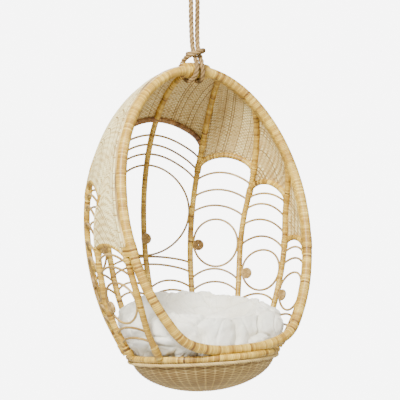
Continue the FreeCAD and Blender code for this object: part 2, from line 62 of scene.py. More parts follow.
LEG_ANGLE, SPLIT_HEIGHT = 114.0, 0.300
EGG_CENTRE = np.array([0, 0, EGG_EQUATOR])
joints = {joint["name"]: joint for joint in frame["record"]["behaviour"]["joints"]}
HANG_POINT = np.array(joints["chair_rock"]["pos_m"], float)
LINK_WIRE = np.array(joints["rope_swing"]["pos_m"], float)


def vec(*values):
    return np.array(values, float)


def egg_radius_at(height):
    above = np.asarray(height, float) - EGG_EQUATOR
    reach = np.where(above > 0, EGG_RISE, EGG_DROP)
    return EGG_RADIUS * np.sqrt(np.maximum(0.0, 1 - (above / reach) ** 2))


def egg_shift_at(height):
    share = np.maximum(0.0, 1 - np.asarray(height, float) / RING_SHIFT_HEIGHT)
    return RING_SHIFT * share ** 2


def on_egg(height, degrees, inset=0.0):
    angle = np.radians(degrees)
    radius = egg_radius_at(height) - inset
    height = height + 0 * angle
    return np.stack([radius * np.sin(angle), egg_shift_at(height) + radius * np.cos(angle), height], -1)


def onto_egg(points, outside=0.0):
    """Points moved along rays from the egg's centre on to the egg, then outwards along its normal."""
    ray = np.asarray(points, float) - EGG_CENTRE
    reach = np.where(ray[..., 2] > 0, EGG_RISE, EGG_DROP)
    size = np.sqrt((ray[..., 0] ** 2 + ray[..., 1] ** 2) / EGG_RADIUS ** 2 + (ray[..., 2] / reach) ** 2)
    ray = ray / size[..., None]
    return EGG_CENTRE + ray + egg_normal(EGG_CENTRE + ray) * np.asarray(outside)[..., None]


def egg_normal(points):
    ray = points - EGG_CENTRE
    reach = np.where(ray[..., 2] > 0, EGG_RISE, EGG_DROP)
    normal = np.stack([ray[..., 0] / EGG_RADIUS ** 2, ray[..., 1] / EGG_RADIUS ** 2,
                       ray[..., 2] / reach ** 2], -1)
    return normal / np.linalg.norm(normal, axis=-1, keepdims=True)


def hoop_plane_at(height, behind=0.0):
    return -HOOP_FOOT + (height - HOOP_FOOT_HEIGHT) * math.tan(HOOP_LEAN) + behind / math.cos(HOOP_LEAN)


def hoop_at(height, behind=0.0):
    depth = hoop_plane_at(height, behind)
    across = egg_radius_at(height) ** 2 - (depth - egg_shift_at(height)) ** 2
    return vec(math.sqrt(max(0.0, across)), depth, height)


def hoop_top(behind=0.0):
    low, high = EGG_EQUATOR, EGG_EQUATOR + EGG_RISE
    for _ in range(60):
        middle = (low + high) / 2
        inside = egg_radius_at(middle) > abs(hoop_plane_at(middle, behind))
        low, high = (middle, high) if inside else (low, middle)
    return vec(0, hoop_plane_at(low, behind), low)


def mirrored(points):
    return np.asarray(points) * vec(-1, 1, 1)


def both_ways(half, middle):
    """Whole line from its half on the +X side, which starts beside the middle point."""
    return np.concatenate([mirrored(half)[::-1], [middle], half])


HOOP_TOP, REAR_TOP = hoop_top(), hoop_top(HOOP_SPACING)
HANGER_SHARE = (1 + (REAR_RADIUS - HOOP_RADIUS) / HOOP_SPACING) / 2
HANGER = HOOP_TOP + (REAR_TOP - HOOP_TOP) * HANGER_SHARE
tilt_cos, tilt_sin = math.cos(CHAIR_TILT), math.sin(CHAIR_TILT)
TURN = np.array([[1, 0, 0], [0, tilt_cos, tilt_sin], [0, -tilt_sin, tilt_cos]])


def to_world(points):
    """Chair frame to the row frame."""
    return (np.asarray(points) - HANGER) @ TURN.T + HANG_POINT


# ------------------------------------------------------------------ lines
def smooth_line(points, spacing, closed=False):
    """Even points along a cubic spline through the given ones."""
    knots = np.asarray(points, float)
    if closed:
        knots = np.concatenate([knots[-3:], knots, knots[:4]])
    chord = np.linalg.norm(np.diff(knots, axis=0), axis=1)
    t = np.concatenate([[0], np.cumsum(chord)])
    count = len(knots)
    matrix = np.eye(count)
    right = np.zeros((count, 3))
    for i in range(1, count - 1):
        before, after = chord[i - 1], chord[i]
        matrix[i, i - 1:i + 2] = before, 2 * (before + after), after
        right[i] = 6 * ((knots[i + 1] - knots[i]) / after - (knots[i] - knots[i - 1]) / before)
    bend = np.linalg.solve(matrix, right)
    first, last = (3, count - 4) if closed else (0, count - 1)
    fine = np.linspace(t[first], t[last], int((t[last] - t[first]) / spacing * 4) + 8)
    i = np.clip(np.searchsorted(t, fine, side="right") - 1, 0, count - 2)
    step, x = chord[i][:, None], (fine - t[i])[:, None]
    y = step - x
    line = (bend[i] * y ** 3 + bend[i + 1] * x ** 3) / (6 * step) \
        + (knots[i] / step - bend[i] * step / 6) * y + (knots[i + 1] / step - bend[i + 1] * step / 6) * x
    return resampled(line, spacing, closed)


def resampled(line, spacing=None, closed=False, count=None):
    """Evenly spaced points along a line; a closed one leaves out its last point."""
    along = np.concatenate([[0], np.cumsum(np.linalg.norm(np.diff(line, axis=0), axis=1))])
    count = count or max(4, int(round(along[-1] / spacing)) + 1)
    stations = np.linspace(0, along[-1], count)
    even = np.stack([np.interp(stations, along, line[:, k]) for k in range(3)], 1)
    return even[:-1] if closed else even


def lengths(line):
    return np.concatenate([[0], np.cumsum(np.linalg.norm(np.diff(line, axis=0), axis=1))])


def frames(line, closed=False):
    """Two unit vectors square to the line at each point, carried along without twist."""
    if closed:
        tangent = np.roll(line, -1, 0) - np.roll(line, 1, 0)
    else:
        tangent = np.gradient(line, axis=0)
    tangent /= np.linalg.norm(tangent, axis=1, keepdims=True)
    side = np.empty_like(line)
    carried = vec(0, 0, 1) if abs(tangent[0][2]) < 0.9 else vec(1, 0, 0)
    for i, t in enumerate(tangent):
        carried = carried - t * (carried @ t)
        carried = carried / np.linalg.norm(carried)
        side[i] = carried
    upward = np.cross(tangent, side)
    return untwisted(side, upward) if closed else (side, upward)


def untwisted(across, upward):
    """Frames of a closed line turned little by little, so that the last one meets the first."""
    gap = math.atan2(across[0] @ upward[-1], across[0] @ across[-1])
    turn = (np.arange(len(across)) / len(across) * gap)[:, None]
    return (across * np.cos(turn) + upward * np.sin(turn),
            upward * np.cos(turn) - across * np.sin(turn))


def spokes(line, closed, angle):
    """Unit vectors outwards from a line, at the given angles round each of its points."""
    across, upward = frames(line, closed)
    return np.cos(angle)[None, :, None] * across[:, None] + np.sin(angle)[None, :, None] * upward[:, None]


def turned(count):
    """Evenly spaced angles round a full turn."""
    return 2 * np.pi * np.arange(count) / count


def tube_uv(along, sides, girth):
    return np.append(along, along[-1] + 0.001), np.arange(sides + 1) / sides * girth


def cut_line(line, low, high):
    """The stretch of a rising line between two heights."""
    return line[(line[:, 2] >= low) & (line[:, 2] <= high)]


def point_at_height(line, height):
    return np.array([np.interp(height, line[:, 2], line[:, k]) for k in range(3)])


def angle_of(point):
    return math.degrees(math.atan2(point[0], point[1] - egg_shift_at(point[2])))


# ------------------------------------------------------------------ meshes
def scatter(numbers):
    """A steady pseudo-random value from 0 to 1 for each number."""
    value = np.sin(np.asarray(numbers, float) * 12.9898 + 4.1) * 43758.5453
    return value - np.floor(value)


def grid_object(name, points, tone, around=True, closed=False, uv=None, material=None, body="chair",
                local=True):
    """Mesh from a grid of points (rows along, columns around); open tubes get end caps."""
    rows, columns = points.shape[:2]
    row_faces = rows if closed else rows - 1
    column_faces = columns if around else columns - 1
    i, j = np.meshgrid(np.arange(row_faces), np.arange(column_faces), indexing="ij")
    i, j = i.ravel(), j.ravel()
    i_next, j_next = (i + 1) % rows, (j + 1) % columns
    faces = np.stack([i * columns + j, i * columns + j_next,
                      i_next * columns + j_next, i_next * columns + j], 1)
    if uv is None:
        uv = (np.arange(rows + 1) / rows, np.arange(columns + 1) / columns)
    u, v = uv
    loops_uv = np.stack([np.stack([u[i], v[j]], 1), np.stack([u[i], v[j + 1]], 1),
                         np.stack([u[i + 1], v[j + 1]], 1), np.stack([u[i + 1], v[j]], 1)], 1)
    coordinates = points.reshape(-1, 3)
    flat_uv = loops_uv.reshape(-1, 2)
    sizes = np.full(len(faces), 4)
    corner_list = [faces.ravel()]
    if around and not closed:
        last = (rows - 1) * columns
        corner_list += [np.arange(columns)[::-1], last + np.arange(columns)]
        sizes = np.concatenate([sizes, [columns, columns]])
        flat_uv = np.concatenate([flat_uv, np.zeros((2 * columns, 2))])
    corners = np.concatenate(corner_list)
    if local:
        coordinates = to_world(coordinates)
    starts = np.concatenate([[0], np.cumsum(sizes)[:-1]])
    if signed_volume(coordinates, faces) < 0:
        corners, flat_uv = flipped(corners, flat_uv, sizes, starts)
    return mesh_object(name, coordinates, corners, starts, flat_uv, tone, material, body)


def flipped(corners, uv, sizes, starts):
    order = np.concatenate([np.arange(start + size - 1, start - 1, -1)
                            for start, size in zip(starts, sizes)])
    return corners[order], uv[order]


def signed_volume(points, faces):
    a, b, c, d = (points[faces[:, k]] - points.mean(0) for k in range(4))
    return np.einsum("ij,ij->", a, np.cross(b, c)) + np.einsum("ij,ij->", a, np.cross(c, d))


def mesh_object(name, coordinates, corners, starts, uv, tone, material, body):
    mesh = bpy.data.meshes.new(name)
    mesh.vertices.add(len(coordinates))
    mesh.vertices.foreach_set("co", np.ascontiguousarray(coordinates, np.float32).ravel())
    mesh.loops.add(len(corners))
    mesh.loops.foreach_set("vertex_index", corners.astype(np.int32))
    mesh.polygons.add(len(starts))
    mesh.polygons.foreach_set("loop_start", starts.astype(np.int32))
    mesh.uv_layers.new(name="UVMap").data.foreach_set("uv", uv.astype(np.float32).ravel())
    values = np.broadcast_to(np.asarray(tone, float).ravel(), (len(coordinates),))
    mesh.attributes.new("tone", "FLOAT", "POINT").data.foreach_set("value", values.astype(np.float32))
    mesh.update(calc_edges=True)
    mesh.validate()
    mesh.shade_smooth()
    if material is not None:
        mesh.materials.append(material)
    piece = bpy.data.objects.new(name, mesh)
    bpy.context.scene.collection.objects.link(piece)
    if body:
        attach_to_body(piece, body)
    return piece


def joined(name, pieces):
    """Several meshes made into one piece."""
    bpy.ops.object.select_all(action="DESELECT")
    for piece in pieces:
        piece.select_set(True)
    bpy.context.view_layer.objects.active = pieces[0]
    bpy.ops.object.join()
    whole = bpy.context.view_layer.objects.active
    whole.name = name
    whole.data.name = name
    return whole


# ------------------------------------------------------------------ materials
def new_material(name):
    material = bpy.data.materials.new(name)
    material.use_nodes = True
    nodes, links = material.node_tree.nodes, material.node_tree.links
    return material, nodes, links, nodes["Principled BSDF"]


def noise_node(nodes, links, vector, scale, detail=4.0, rough=0.6, stretch=None):
    if stretch is not None:
        mapping = nodes.new("ShaderNodeMapping")
        mapping.inputs["Scale"].default_value = stretch
        links.new(vector, mapping.inputs["Vector"])
        vector = mapping.outputs["Vector"]
    texture = nodes.new("ShaderNodeTexNoise")
    texture.inputs["Scale"].default_value = scale
    texture.inputs["Detail"].default_value = detail
    texture.inputs["Roughness"].default_value = rough
    links.new(vector, texture.inputs["Vector"])
    return texture.outputs["Fac"]


def ramp_node(nodes, links, value, stops):
    ramp = nodes.new("ShaderNodeValToRGB")
    elements = ramp.color_ramp.elements
    while len(elements) < len(stops):
        elements.new(0.5)
    for element, (place, colour) in zip(elements, stops):
        element.position = place
        element.color = (*colour, 1.0)
    links.new(value, ramp.inputs["Fac"])
    return ramp.outputs["Color"]


def mix_node(nodes, links, kind, share, first, second):
    mix = nodes.new("ShaderNodeMix")
    mix.data_type = "RGBA"
    mix.blend_type = kind
    if isinstance(share, float):
        mix.inputs["Factor"].default_value = share
    else:
        links.new(share, mix.inputs["Factor"])
    links.new(first, mix.inputs["A"])
    links.new(second, mix.inputs["B"])
    return mix.outputs["Result"]


def add_relief(nodes, links, shader, height, strength, distance):
    relief = nodes.new("ShaderNodeBump")
    relief.inputs["Strength"].default_value = strength
    relief.inputs["Distance"].default_value = distance
    links.new(height, relief.inputs["Height"])
    links.new(relief.outputs["Normal"], shader.inputs["Normal"])


def vary_roughness(nodes, links, shader, value, low, high):
    dull = nodes.new("ShaderNodeMapRange")
    dull.inputs["To Min"].default_value = low
    dull.inputs["To Max"].default_value = high
    links.new(value, dull.inputs["Value"])
    links.new(dull.outputs["Result"], shader.inputs["Roughness"])


def plant_material(name, stops, streak=(60.0, 6.0, 1.0), patch_scale=9.0, roughness=0.5,
                   bump=0.25, patch_dark=0.72, grain=0.35):
    """Cane, peel or fibre: colour from the piece's tone (its own colour changes and painted shade in its
    grooves and gaps), with fine streaks and broad patches.
    """
    material, nodes, links, shader = new_material(name)
    tone = nodes.new("ShaderNodeAttribute")
    tone.attribute_name = "tone"
    place = nodes.new("ShaderNodeTexCoord")
    streaks = noise_node(nodes, links, place.outputs["UV"], 1.0, 5.0, 0.65, streak)
    patches = noise_node(nodes, links, place.outputs["Object"], patch_scale, 3.0, 0.55)
    colour = ramp_node(nodes, links, tone.outputs["Fac"], stops)
    grain_colour = ramp_node(nodes, links, streaks, ((0.3, (0.45, 0.40, 0.33)), (0.72, (1.25, 1.2, 1.1))))
    colour = mix_node(nodes, links, "MULTIPLY", grain, colour, grain_colour)
    patch_colour = ramp_node(nodes, links, patches, (
        (0.34, (patch_dark, patch_dark * 0.93, patch_dark * 0.84)), (0.62, (1.0, 1.0, 1.0))))
    colour = mix_node(nodes, links, "MULTIPLY", 1.0, colour, patch_colour)
    links.new(colour, shader.inputs["Base Color"])
    vary_roughness(nodes, links, shader, streaks, roughness - 0.1, roughness + 0.18)
    add_relief(nodes, links, shader, streaks, bump, 0.0008)
    shader.inputs["Specular IOR Level"].default_value = 0.4
    return material


PEEL = plant_material("cane_peel", (
    (0.0, (0.07, 0.028, 0.004)), (0.25, (0.33, 0.17, 0.020)), (0.6, (0.60, 0.37, 0.046)),
    (1.0, (0.90, 0.65, 0.125))), roughness=0.38)
DARK_PEEL = plant_material("dark_cane_peel", (
    (0.0, (0.06, 0.026, 0.008)), (0.3, (0.19, 0.088, 0.026)), (0.7, (0.33, 0.170, 0.052)),
    (1.0, (0.45, 0.26, 0.085))), roughness=0.42)
CANE = plant_material("bent_cane", (
    (0.0, (0.20, 0.11, 0.024)), (0.5, (0.44, 0.28, 0.070)), (1.0, (0.62, 0.43, 0.14))),
    streak=(40.0, 8.0, 1.0), roughness=0.4)
DISC = plant_material("wound_cane", (
    (0.0, (0.08, 0.035, 0.008)), (0.35, (0.30, 0.17, 0.045)), (1.0, (0.64, 0.44, 0.15))),
    streak=(90.0, 8.0, 1.0), roughness=0.5)
WEAVE = plant_material("woven_cane", (
    (0.0, (0.03, 0.014, 0.004)), (0.25, (0.22, 0.13, 0.035)), (0.6, (0.62, 0.44, 0.155)),
    (1.0, (0.98, 0.88, 0.46))), streak=(300.0, 300.0, 1.0), patch_scale=12.0, roughness=0.6,
    patch_dark=0.86, grain=0.25)
WICKER = plant_material("wicker", (
    (0.0, (0.05, 0.024, 0.006)), (0.3, (0.27, 0.165, 0.045)), (0.65, (0.55, 0.385, 0.125)),
    (1.0, (0.82, 0.64, 0.27))), streak=(200.0, 200.0, 1.0), roughness=0.62, patch_dark=0.82)
FIBRE = plant_material("rope_fibre", (
    (0.0, (0.025, 0.012, 0.004)), (0.4, (0.15, 0.088, 0.030)), (1.0, (0.42, 0.28, 0.105))),
    streak=(26.0, 60.0, 1.0), roughness=0.85, bump=0.6, grain=0.6)


def cloth_material():
    material, nodes, links, shader = new_material("plush_cloth")
    place = nodes.new("ShaderNodeTexCoord")
    pile = noise_node(nodes, links, place.outputs["Object"], 420.0, 3.0, 0.7)
    soft = noise_node(nodes, links, place.outputs["Object"], 26.0, 4.0, 0.6)
    colour = ramp_node(nodes, links, soft, ((0.3, (0.90, 0.88, 0.75)), (0.7, (0.98, 0.965, 0.855))))
    depth = nodes.new("ShaderNodeAttribute")
    depth.attribute_name = "tone"
    shade = ramp_node(nodes, links, depth.outputs["Fac"], (
        (0.0, (0.86, 0.84, 0.79)), (0.5, (0.97, 0.965, 0.95)), (0.8, (1.0, 1.0, 1.0))))
    colour = mix_node(nodes, links, "MULTIPLY", 1.0, colour, shade)
    flecks = ramp_node(nodes, links, pile, ((0.3, (0.88, 0.87, 0.85)), (0.65, (1.0, 1.0, 1.0))))
    links.new(mix_node(nodes, links, "MULTIPLY", 1.0, colour, flecks), shader.inputs["Base Color"])
    shader.inputs["Roughness"].default_value = 0.92
    shader.inputs["Sheen Weight"].default_value = 0.35
    shader.inputs["Sheen Roughness"].default_value = 0.5
    shader.inputs["Specular IOR Level"].default_value = 0.2
    add_relief(nodes, links, shader, pile, 0.35, 0.001)
    return material


def metal_material(name, colour, roughness, metallic):
    material, nodes, links, shader = new_material(name)
    place = nodes.new("ShaderNodeTexCoord")
    wear = noise_node(nodes, links, place.outputs["Object"], 55.0, 6.0, 0.65)
    dark = tuple(c * 0.78 for c in colour)
    links.new(ramp_node(nodes, links, wear, ((0.35, dark), (0.65, colour))), shader.inputs["Base Color"])
    vary_roughness(nodes, links, shader, wear, roughness - 0.1, roughness + 0.15)
    add_relief(nodes, links, shader, wear, 0.12, 0.0005)
    shader.inputs["Metallic"].default_value = metallic
    return material


# ------------------------------------------------------------------ wound poles
PEEL_PITCH = 0.0066


def wound_relief(along, share, seed, pitch=PEEL_PITCH, height=0.0008):
    """Rise and tone of peel wound round a pole: along it in metres, share of a turn round it."""
    phase = along[:, None] / pitch + share[None, :]
    turn = np.floor(phase)
    inside = 2 * (phase - turn) - 1
    crown = 1 - np.abs(inside) ** 5
    lift = 0.5 * scatter(turn + seed * 17.3)
    rise = height * (crown * (0.75 + lift) - 0.5)
    slow = np.sin(along[:, None] * 23.0 + seed) * 0.5 + np.sin(along[:, None] * 61.0 + 2 * seed) * 0.5
    tone = 0.71 + 0.50 * (scatter(turn * 1.7 + seed) - 0.5) + 0.12 * slow
    dark_turn = scatter(turn * 0.731 + seed * 3.1) > 0.88
    tone = np.where(dark_turn, tone - 0.34, tone)
    # Each turn's tone falls off towards its edges, to black at some seams: painted shade in the grooves
    # between turns.
    deep_seam_shade = scatter(turn * 2.31 + seed) > 0.6
    tone = tone * np.where(deep_seam_shade, np.clip(crown * 1.1, 0.0, 1), 0.14 + 0.86 * np.clip(crown * 1.4, 0, 1))
    return rise, np.clip(tone, 0, 1)


def wound_pole(name, line, radius, sides=16, closed=False, seed=1.0, material=PEEL, taper=0.0,
               pitch=PEEL_PITCH):
    """Pole wound with peel; taper rounds its ends off over that length."""
    along = lengths(line)
    if closed:
        whole = along[-1] + np.linalg.norm(line[0] - line[-1])
        pitch = whole / round(whole / pitch)
    share = np.arange(sides) / sides
    rise, tone = wound_relief(along, share, seed, pitch)
    size = np.full(len(line), radius)
    if taper:
        to_end = np.minimum(along, along[-1] - along)
        size = radius * np.sqrt(np.clip(1 - (1 - np.clip(to_end / taper, 0, 1)) ** 2 * 0.5, 0.02, 1))
    reach = size[:, None] + rise
    points = line[:, None] + reach[..., None] * spokes(line, closed, 2 * np.pi * share)
    uv = tube_uv(along, sides, radius * 6)
    return grid_object(name, points, tone, closed=closed, uv=uv, material=material)


def wound_band(name, first, second, first_radius, second_radius, sides=32, seed=1.0):
    """Peel wound round two poles lying side by side."""
    along = lengths(first)
    share = np.arange(sides) / sides
    out = spokes(first, False, 2 * np.pi * share)
    gap = second - first
    further = np.einsum("ik,ijk->ij", gap, out) + second_radius > first_radius
    centre = first[:, None] + np.where(further[..., None], gap[:, None], 0.0)
    size = np.where(further, second_radius, first_radius)
    rise, tone = wound_relief(along, share, seed)
    points = centre + out * (size + rise + 0.0008)[..., None]
    return grid_object(name, points, tone, uv=tube_uv(along, sides, 0.15), material=PEEL)


# ------------------------------------------------------------------ lines of the frame
FINE = 0.0013


def front_hoop_half():
    heights = (1.047, 1.005, 0.920, 0.790, 0.640, 0.490, 0.340, 0.210, 0.120, 0.070)
    foot = ((0.155, 0.036), (0.078, 0.024))
    lay = [hoop_at(height) for height in heights]
    return np.array(lay + [vec(across, hoop_plane_at(height), height) for across, height in foot])


def rear_hoop_half():
    lay = [hoop_at(height, HOOP_SPACING)
           for height in (1.047, 1.005, 0.920, 0.790, 0.640, 0.490, 0.380)]
    lay.append(on_egg(SPLIT_HEIGHT, 111.5))
    lay += [on_egg(height, LEG_ANGLE - 1) for height in (0.210, 0.110)]
    lay.append(on_egg(0.006, LEG_ANGLE + 1.5))
    return np.array(lay)


hoop_foot = vec(0, hoop_plane_at(0.0215), 0.0215)
front_half = front_hoop_half()
FRONT_LINE = smooth_line(np.concatenate([[HOOP_TOP], front_half, [hoop_foot],
                                         mirrored(front_half)[::-1]]), FINE, closed=True)
REAR_LINE = smooth_line(both_ways(rear_hoop_half(), REAR_TOP), FINE)

RIBS = {
    0: (((0.006, 0), (0.160, 0), (0.330, 0), (0.520, 0), (0.700, 0)), None),
    1: (((0.006, 25), (0.160, 26), (0.330, 26.6), (0.520, 28.6), (0.700, 33)), 1.041),
    2: (((0.006, 56), (0.160, 55), (0.330, 55.5), (0.520, 59.5)), 0.928),
    3: (((0.006, 84), (0.120, 82.5), (0.250, 84.5), (0.400, 87), (0.530, 89.5)), 0.706),
}


def rib_line(index):
    lower, attach_height = RIBS[index]
    low_points = [on_egg(height, degrees) for height, degrees in lower]
    attach = REAR_TOP if attach_height is None else hoop_at(attach_height, HOOP_SPACING)
    shares = (0.25, 0.5, 0.75) if index < 3 else (0.5,)
    high_points = [onto_egg(low_points[-1] + (attach - low_points[-1]) * share) for share in shares]
    return smooth_line(np.array(low_points + high_points + [attach]), FINE)


RISING = {index: rib_line(index) for index in RIBS}
RISING[4] = smooth_line(rear_hoop_half()[::-1], FINE)

# Bay: left line, right line, (left end, rise, right end) of its arch and thin canes, loop (middle, half)
BAYS = {
    "centre": dict(edges=(-1, 1), arch=(0.815, 0.105, 0.815), top=(1.036, 1.036), lay=0.0,
                   canes=((0.766, 0.097, 0.766), (0.718, 0.109, 0.718), (0.679, 0.111, 0.679),
                          (0.338, 0.034, 0.338), (0.298, 0.043, 0.298)), loop=(0.562, 0.184)),
    "1": dict(edges=(1, 2), arch=(0.722, 0.062, 0.700), top=(1.036, 0.922), lay=0.0,
              canes=((0.676, 0.045, 0.643), (0.609, 0.040, 0.582), (0.544, 0.041, 0.516),
                     (0.268, 0.048, 0.253), (0.217, 0.044, 0.206)), loop=(0.416, 0.098)),
    "2": dict(edges=(2, 3), arch=(0.606, 0.062, 0.568), top=(0.922, 0.700), lay=0.7,
              canes=((0.588, 0.032, 0.553), (0.541, 0.042, 0.496), (0.478, 0.043, 0.430),
                     (0.395, 0.050, 0.366), (0.170, 0.034, 0.160), (0.124, 0.034, 0.116)),
              loop=(0.294, 0.081)),
    "3": dict(edges=(3, 4), arch=(0.388, 0.042, 0.356), top=(0.672, 0.690), lay=0.7,
              canes=((0.352, 0.036, 0.332), (0.305, 0.036, 0.292), (0.092, 0.024, 0.100),
                     (0.058, 0.020, 0.066)), loop=(0.207, 0.072)),
}
HALF_CANES = ((0.238, 0.036, 0.232), (0.204, 0.028, 0.204))
CANE_FULLNESS = 0.85
SIDES = ((1, "right"), (-1, "left"))


def sided(points, side):
    return points if side > 0 else mirrored(points)


def bay_ends(edges, low_height, high_height):
    first = point_at_height(RISING[abs(edges[0])], low_height)
    last = point_at_height(RISING[edges[1]], high_height)
    return (mirrored(first) if edges[0] < 0 else first), last


def arch_line(edges, arch, spacing, count=9, fullness=0.6):
    low, rise, high = arch
    first, last = bay_ends(edges, low, high)
    start, stop = angle_of(first), angle_of(last)
    share = 0.5 - 0.5 * np.cos(np.pi * np.arange(1, count - 1) / (count - 1))
    height = low + (high - low) * share + rise * (4 * share * (1 - share)) ** fullness
    middle = on_egg(height, start + (stop - start) * share)
    return smooth_line(np.concatenate([[first], middle, [last]]), spacing)


def loop_line(edges, loop, spacing, count=16):
    middle, half_height = loop
    first, last = bay_ends(edges, middle, middle)
    clear = math.degrees((RIB_RADIUS + CANE_RADIUS - 0.0005) / egg_radius_at(middle))
    start, stop = angle_of(first) + clear, angle_of(last) - clear
    turn = 2 * np.pi * np.arange(count) / count
    line = on_egg(middle + half_height * np.sin(turn), (start + stop) / 2 + (stop - start) / 2 * np.cos(turn))
    return smooth_line(line, spacing, closed=True)


# ------------------------------------------------------------------ hoops, ribs and ring
def split_to_split(line, height):
    """The part of a line over the top between its two points at a height, from -X to +X."""
    peak = int(np.argmax(line[:, 2]))
    if abs(peak - len(line) // 2) > len(line) // 4:
        line = np.roll(line, len(line) // 2 - peak, axis=0)
    above = np.nonzero(line[:, 2] >= height)[0]
    stretch = line[above[0]:above[-1] + 1]
    return stretch if stretch[0][0] < 0 else stretch[::-1]


hoop = wound_pole("front_hoop_pole", FRONT_LINE, HOOP_RADIUS, 22, closed=True, seed=3.0)
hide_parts("front_hoop")
rear = wound_pole("rear_hoop_pole", REAR_LINE, REAR_RADIUS, seed=4.0)
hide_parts("rear_hoop")

BAND_FOOT, BAND_FULL = 0.55, 0.93
front_stretch = resampled(split_to_split(FRONT_LINE, BAND_FOOT), FINE)
rear_stretch = resampled(split_to_split(REAR_LINE, BAND_FOOT), count=len(front_stretch))
rise_share = np.clip((front_stretch[:, 2] - BAND_FOOT) / (BAND_FULL - BAND_FOOT), 0, 1)
grown = (rise_share * rise_share * (3 - 2 * rise_share))[:, None]
second_line = front_stretch + (rear_stretch - front_stretch) * grown
second_radius = HOOP_RADIUS + (REAR_RADIUS - HOOP_RADIUS) * grown
band = wound_band("wrapped_hoops", front_stretch, second_line, HOOP_RADIUS, second_radius, 36, 2.0)
SLEEVE_FOOT, SLEEVE_TOP = 0.368, 0.412
lower_front = split_to_split(FRONT_LINE, SLEEVE_FOOT)
lower_rear = resampled(split_to_split(REAR_LINE, SLEEVE_FOOT), count=len(lower_front))
sleeves = []
for side, side_name in SIDES:
    low = np.nonzero((lower_front[:, 2] < SLEEVE_TOP) & (lower_front[:, 0] * side > 0))[0]
    sleeves.append(wound_band("sleeve", lower_front[low], lower_rear[low], HOOP_RADIUS + 0.0006,
                              np.full((len(low), 1), REAR_RADIUS + 0.0006), 36, 2.5 + side))
sleeve = joined("split_sleeves", sleeves)
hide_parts("split_binding_left", "split_binding_right")

wrap_share = np.linspace(-1, 1, 90)
wrap_across = wrap_share * 0.062
TOP_BEND = 0.305
wrap_line = HANGER + np.stack([wrap_across, 0 * wrap_across, -wrap_across ** 2 / (2 * TOP_BEND)], 1)
wrap = wound_pole("hanger_wrap_cane", wrap_line, WRAP_RADIUS - 0.0006, 40, seed=5.0, taper=0.012,
                  pitch=0.0055)
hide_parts("hanger_wrap")

ring_turn = np.radians(np.arange(0, 360, 0.27))
ring_line = np.stack([RING_RADIUS * np.sin(ring_turn), RING_SHIFT - RING_RADIUS * np.cos(ring_turn),
                      0 * ring_turn], 1)
ring = wound_pole("base_ring_pole", ring_line, RING_POLE, 18, closed=True, seed=6.0)
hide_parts("base_ring")

rib = wound_pole("rib_pole_centre", RISING[0], RIB_RADIUS, seed=7.0)
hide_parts("rib_centre")
for side, side_name in SIDES:
    for index in (1, 2, 3):
        rib = wound_pole("rib_pole_%s_%d" % (side_name, index), sided(RISING[index], side), RIB_RADIUS,
                         seed=8.0 + index + 4 * side)
        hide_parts("rib_%s_%d" % (side_name, index))

# short windings over the joints, where arches meet the ribs and where poles stand on the ring
JOINTS = ((1, 0.822), (1, 0.728), (2, 0.706), (2, 0.612), (3, 0.574), (3, 0.394), (4, 0.362),
          (1, 0.030), (2, 0.030), (3, 0.030), (4, 0.034))
BINDING_HALF, BINDING_THICK = 0.019, 0.0024
bindings = []
for side, side_name in SIDES:
    for number, (index, height) in enumerate(JOINTS):
        stretch = cut_line(RISING[index], height - BINDING_HALF, height + BINDING_HALF)
        centre = sided(stretch, side)
        bindings.append(wound_pole("binding", centre, RIB_RADIUS + BINDING_THICK, 18,
                                   seed=20.0 + number, taper=0.004, pitch=0.005))
binding = joined("joint_bindings", bindings)


# ------------------------------------------------------------------ thin canes, loops and arches
# The canes are drawn a little thicker than their solids.
CANE_EXTRA, CANE_STEP = 0.0014, 0.004


def thin_cane(name, line, closed=False, seed=1.0):
    sides = 8
    along = lengths(line)
    knots = 0.00025 * np.exp(-((along % 0.19 - 0.09) / 0.003) ** 2)
    reach = (CANE_RADIUS + CANE_EXTRA + knots)[:, None] * np.ones(sides)
    points = line[:, None] + reach[..., None] * spokes(line, closed, turned(sides))
    tone = 0.5 + 0.22 * np.sin(along * 13 + seed)[:, None] + 0.12 * np.sin(along * 47 + 3 * seed)[:, None] \
        + 0 * reach
    uv = tube_uv(along, sides, 0.02)
    return grid_object(name, points, np.clip(tone, 0, 1), closed=closed, uv=uv, material=CANE)


def add_bay_canes(bay, side, label, seed):
    parts = [thin_cane("cane", sided(arch_line(bay["edges"], cane, CANE_STEP, 9, CANE_FULLNESS), side),
                       seed=seed + number) for number, cane in enumerate(bay["canes"])]
    if bay["edges"][0] < 0:
        for half in (1, -1):
            parts += [thin_cane("cane", sided(arch_line((0, 1), cane, CANE_STEP, 9, CANE_FULLNESS), half),
                                seed=seed) for cane in HALF_CANES]
    canes = joined("thin_canes_" + label, parts)
    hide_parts("cane_arches_" + label)
    loop = sided(loop_line(bay["edges"], bay["loop"], CANE_STEP), side)
    loop = thin_cane("loop_" + label, loop, True, seed)
    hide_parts("cane_loop_" + label)
    dark = label == "centre"
    arch = wound_pole("arch_pole_" + label, sided(arch_line(bay["edges"], bay["arch"], FINE), side),
                      ARCH_RADIUS + 0.0018, 14, seed=seed + 2, material=DARK_PEEL if dark else PEEL)
    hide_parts("hood_arch_" + label)


# ------------------------------------------------------------------ woven hood
WARP, WEFT, WEAVE_RISE = 0.0100, 0.0075, 0.0013
GRID_STEP = 0.0016


def nearest(line, point):
    return int(np.argmin(np.linalg.norm(line - point, axis=1)))


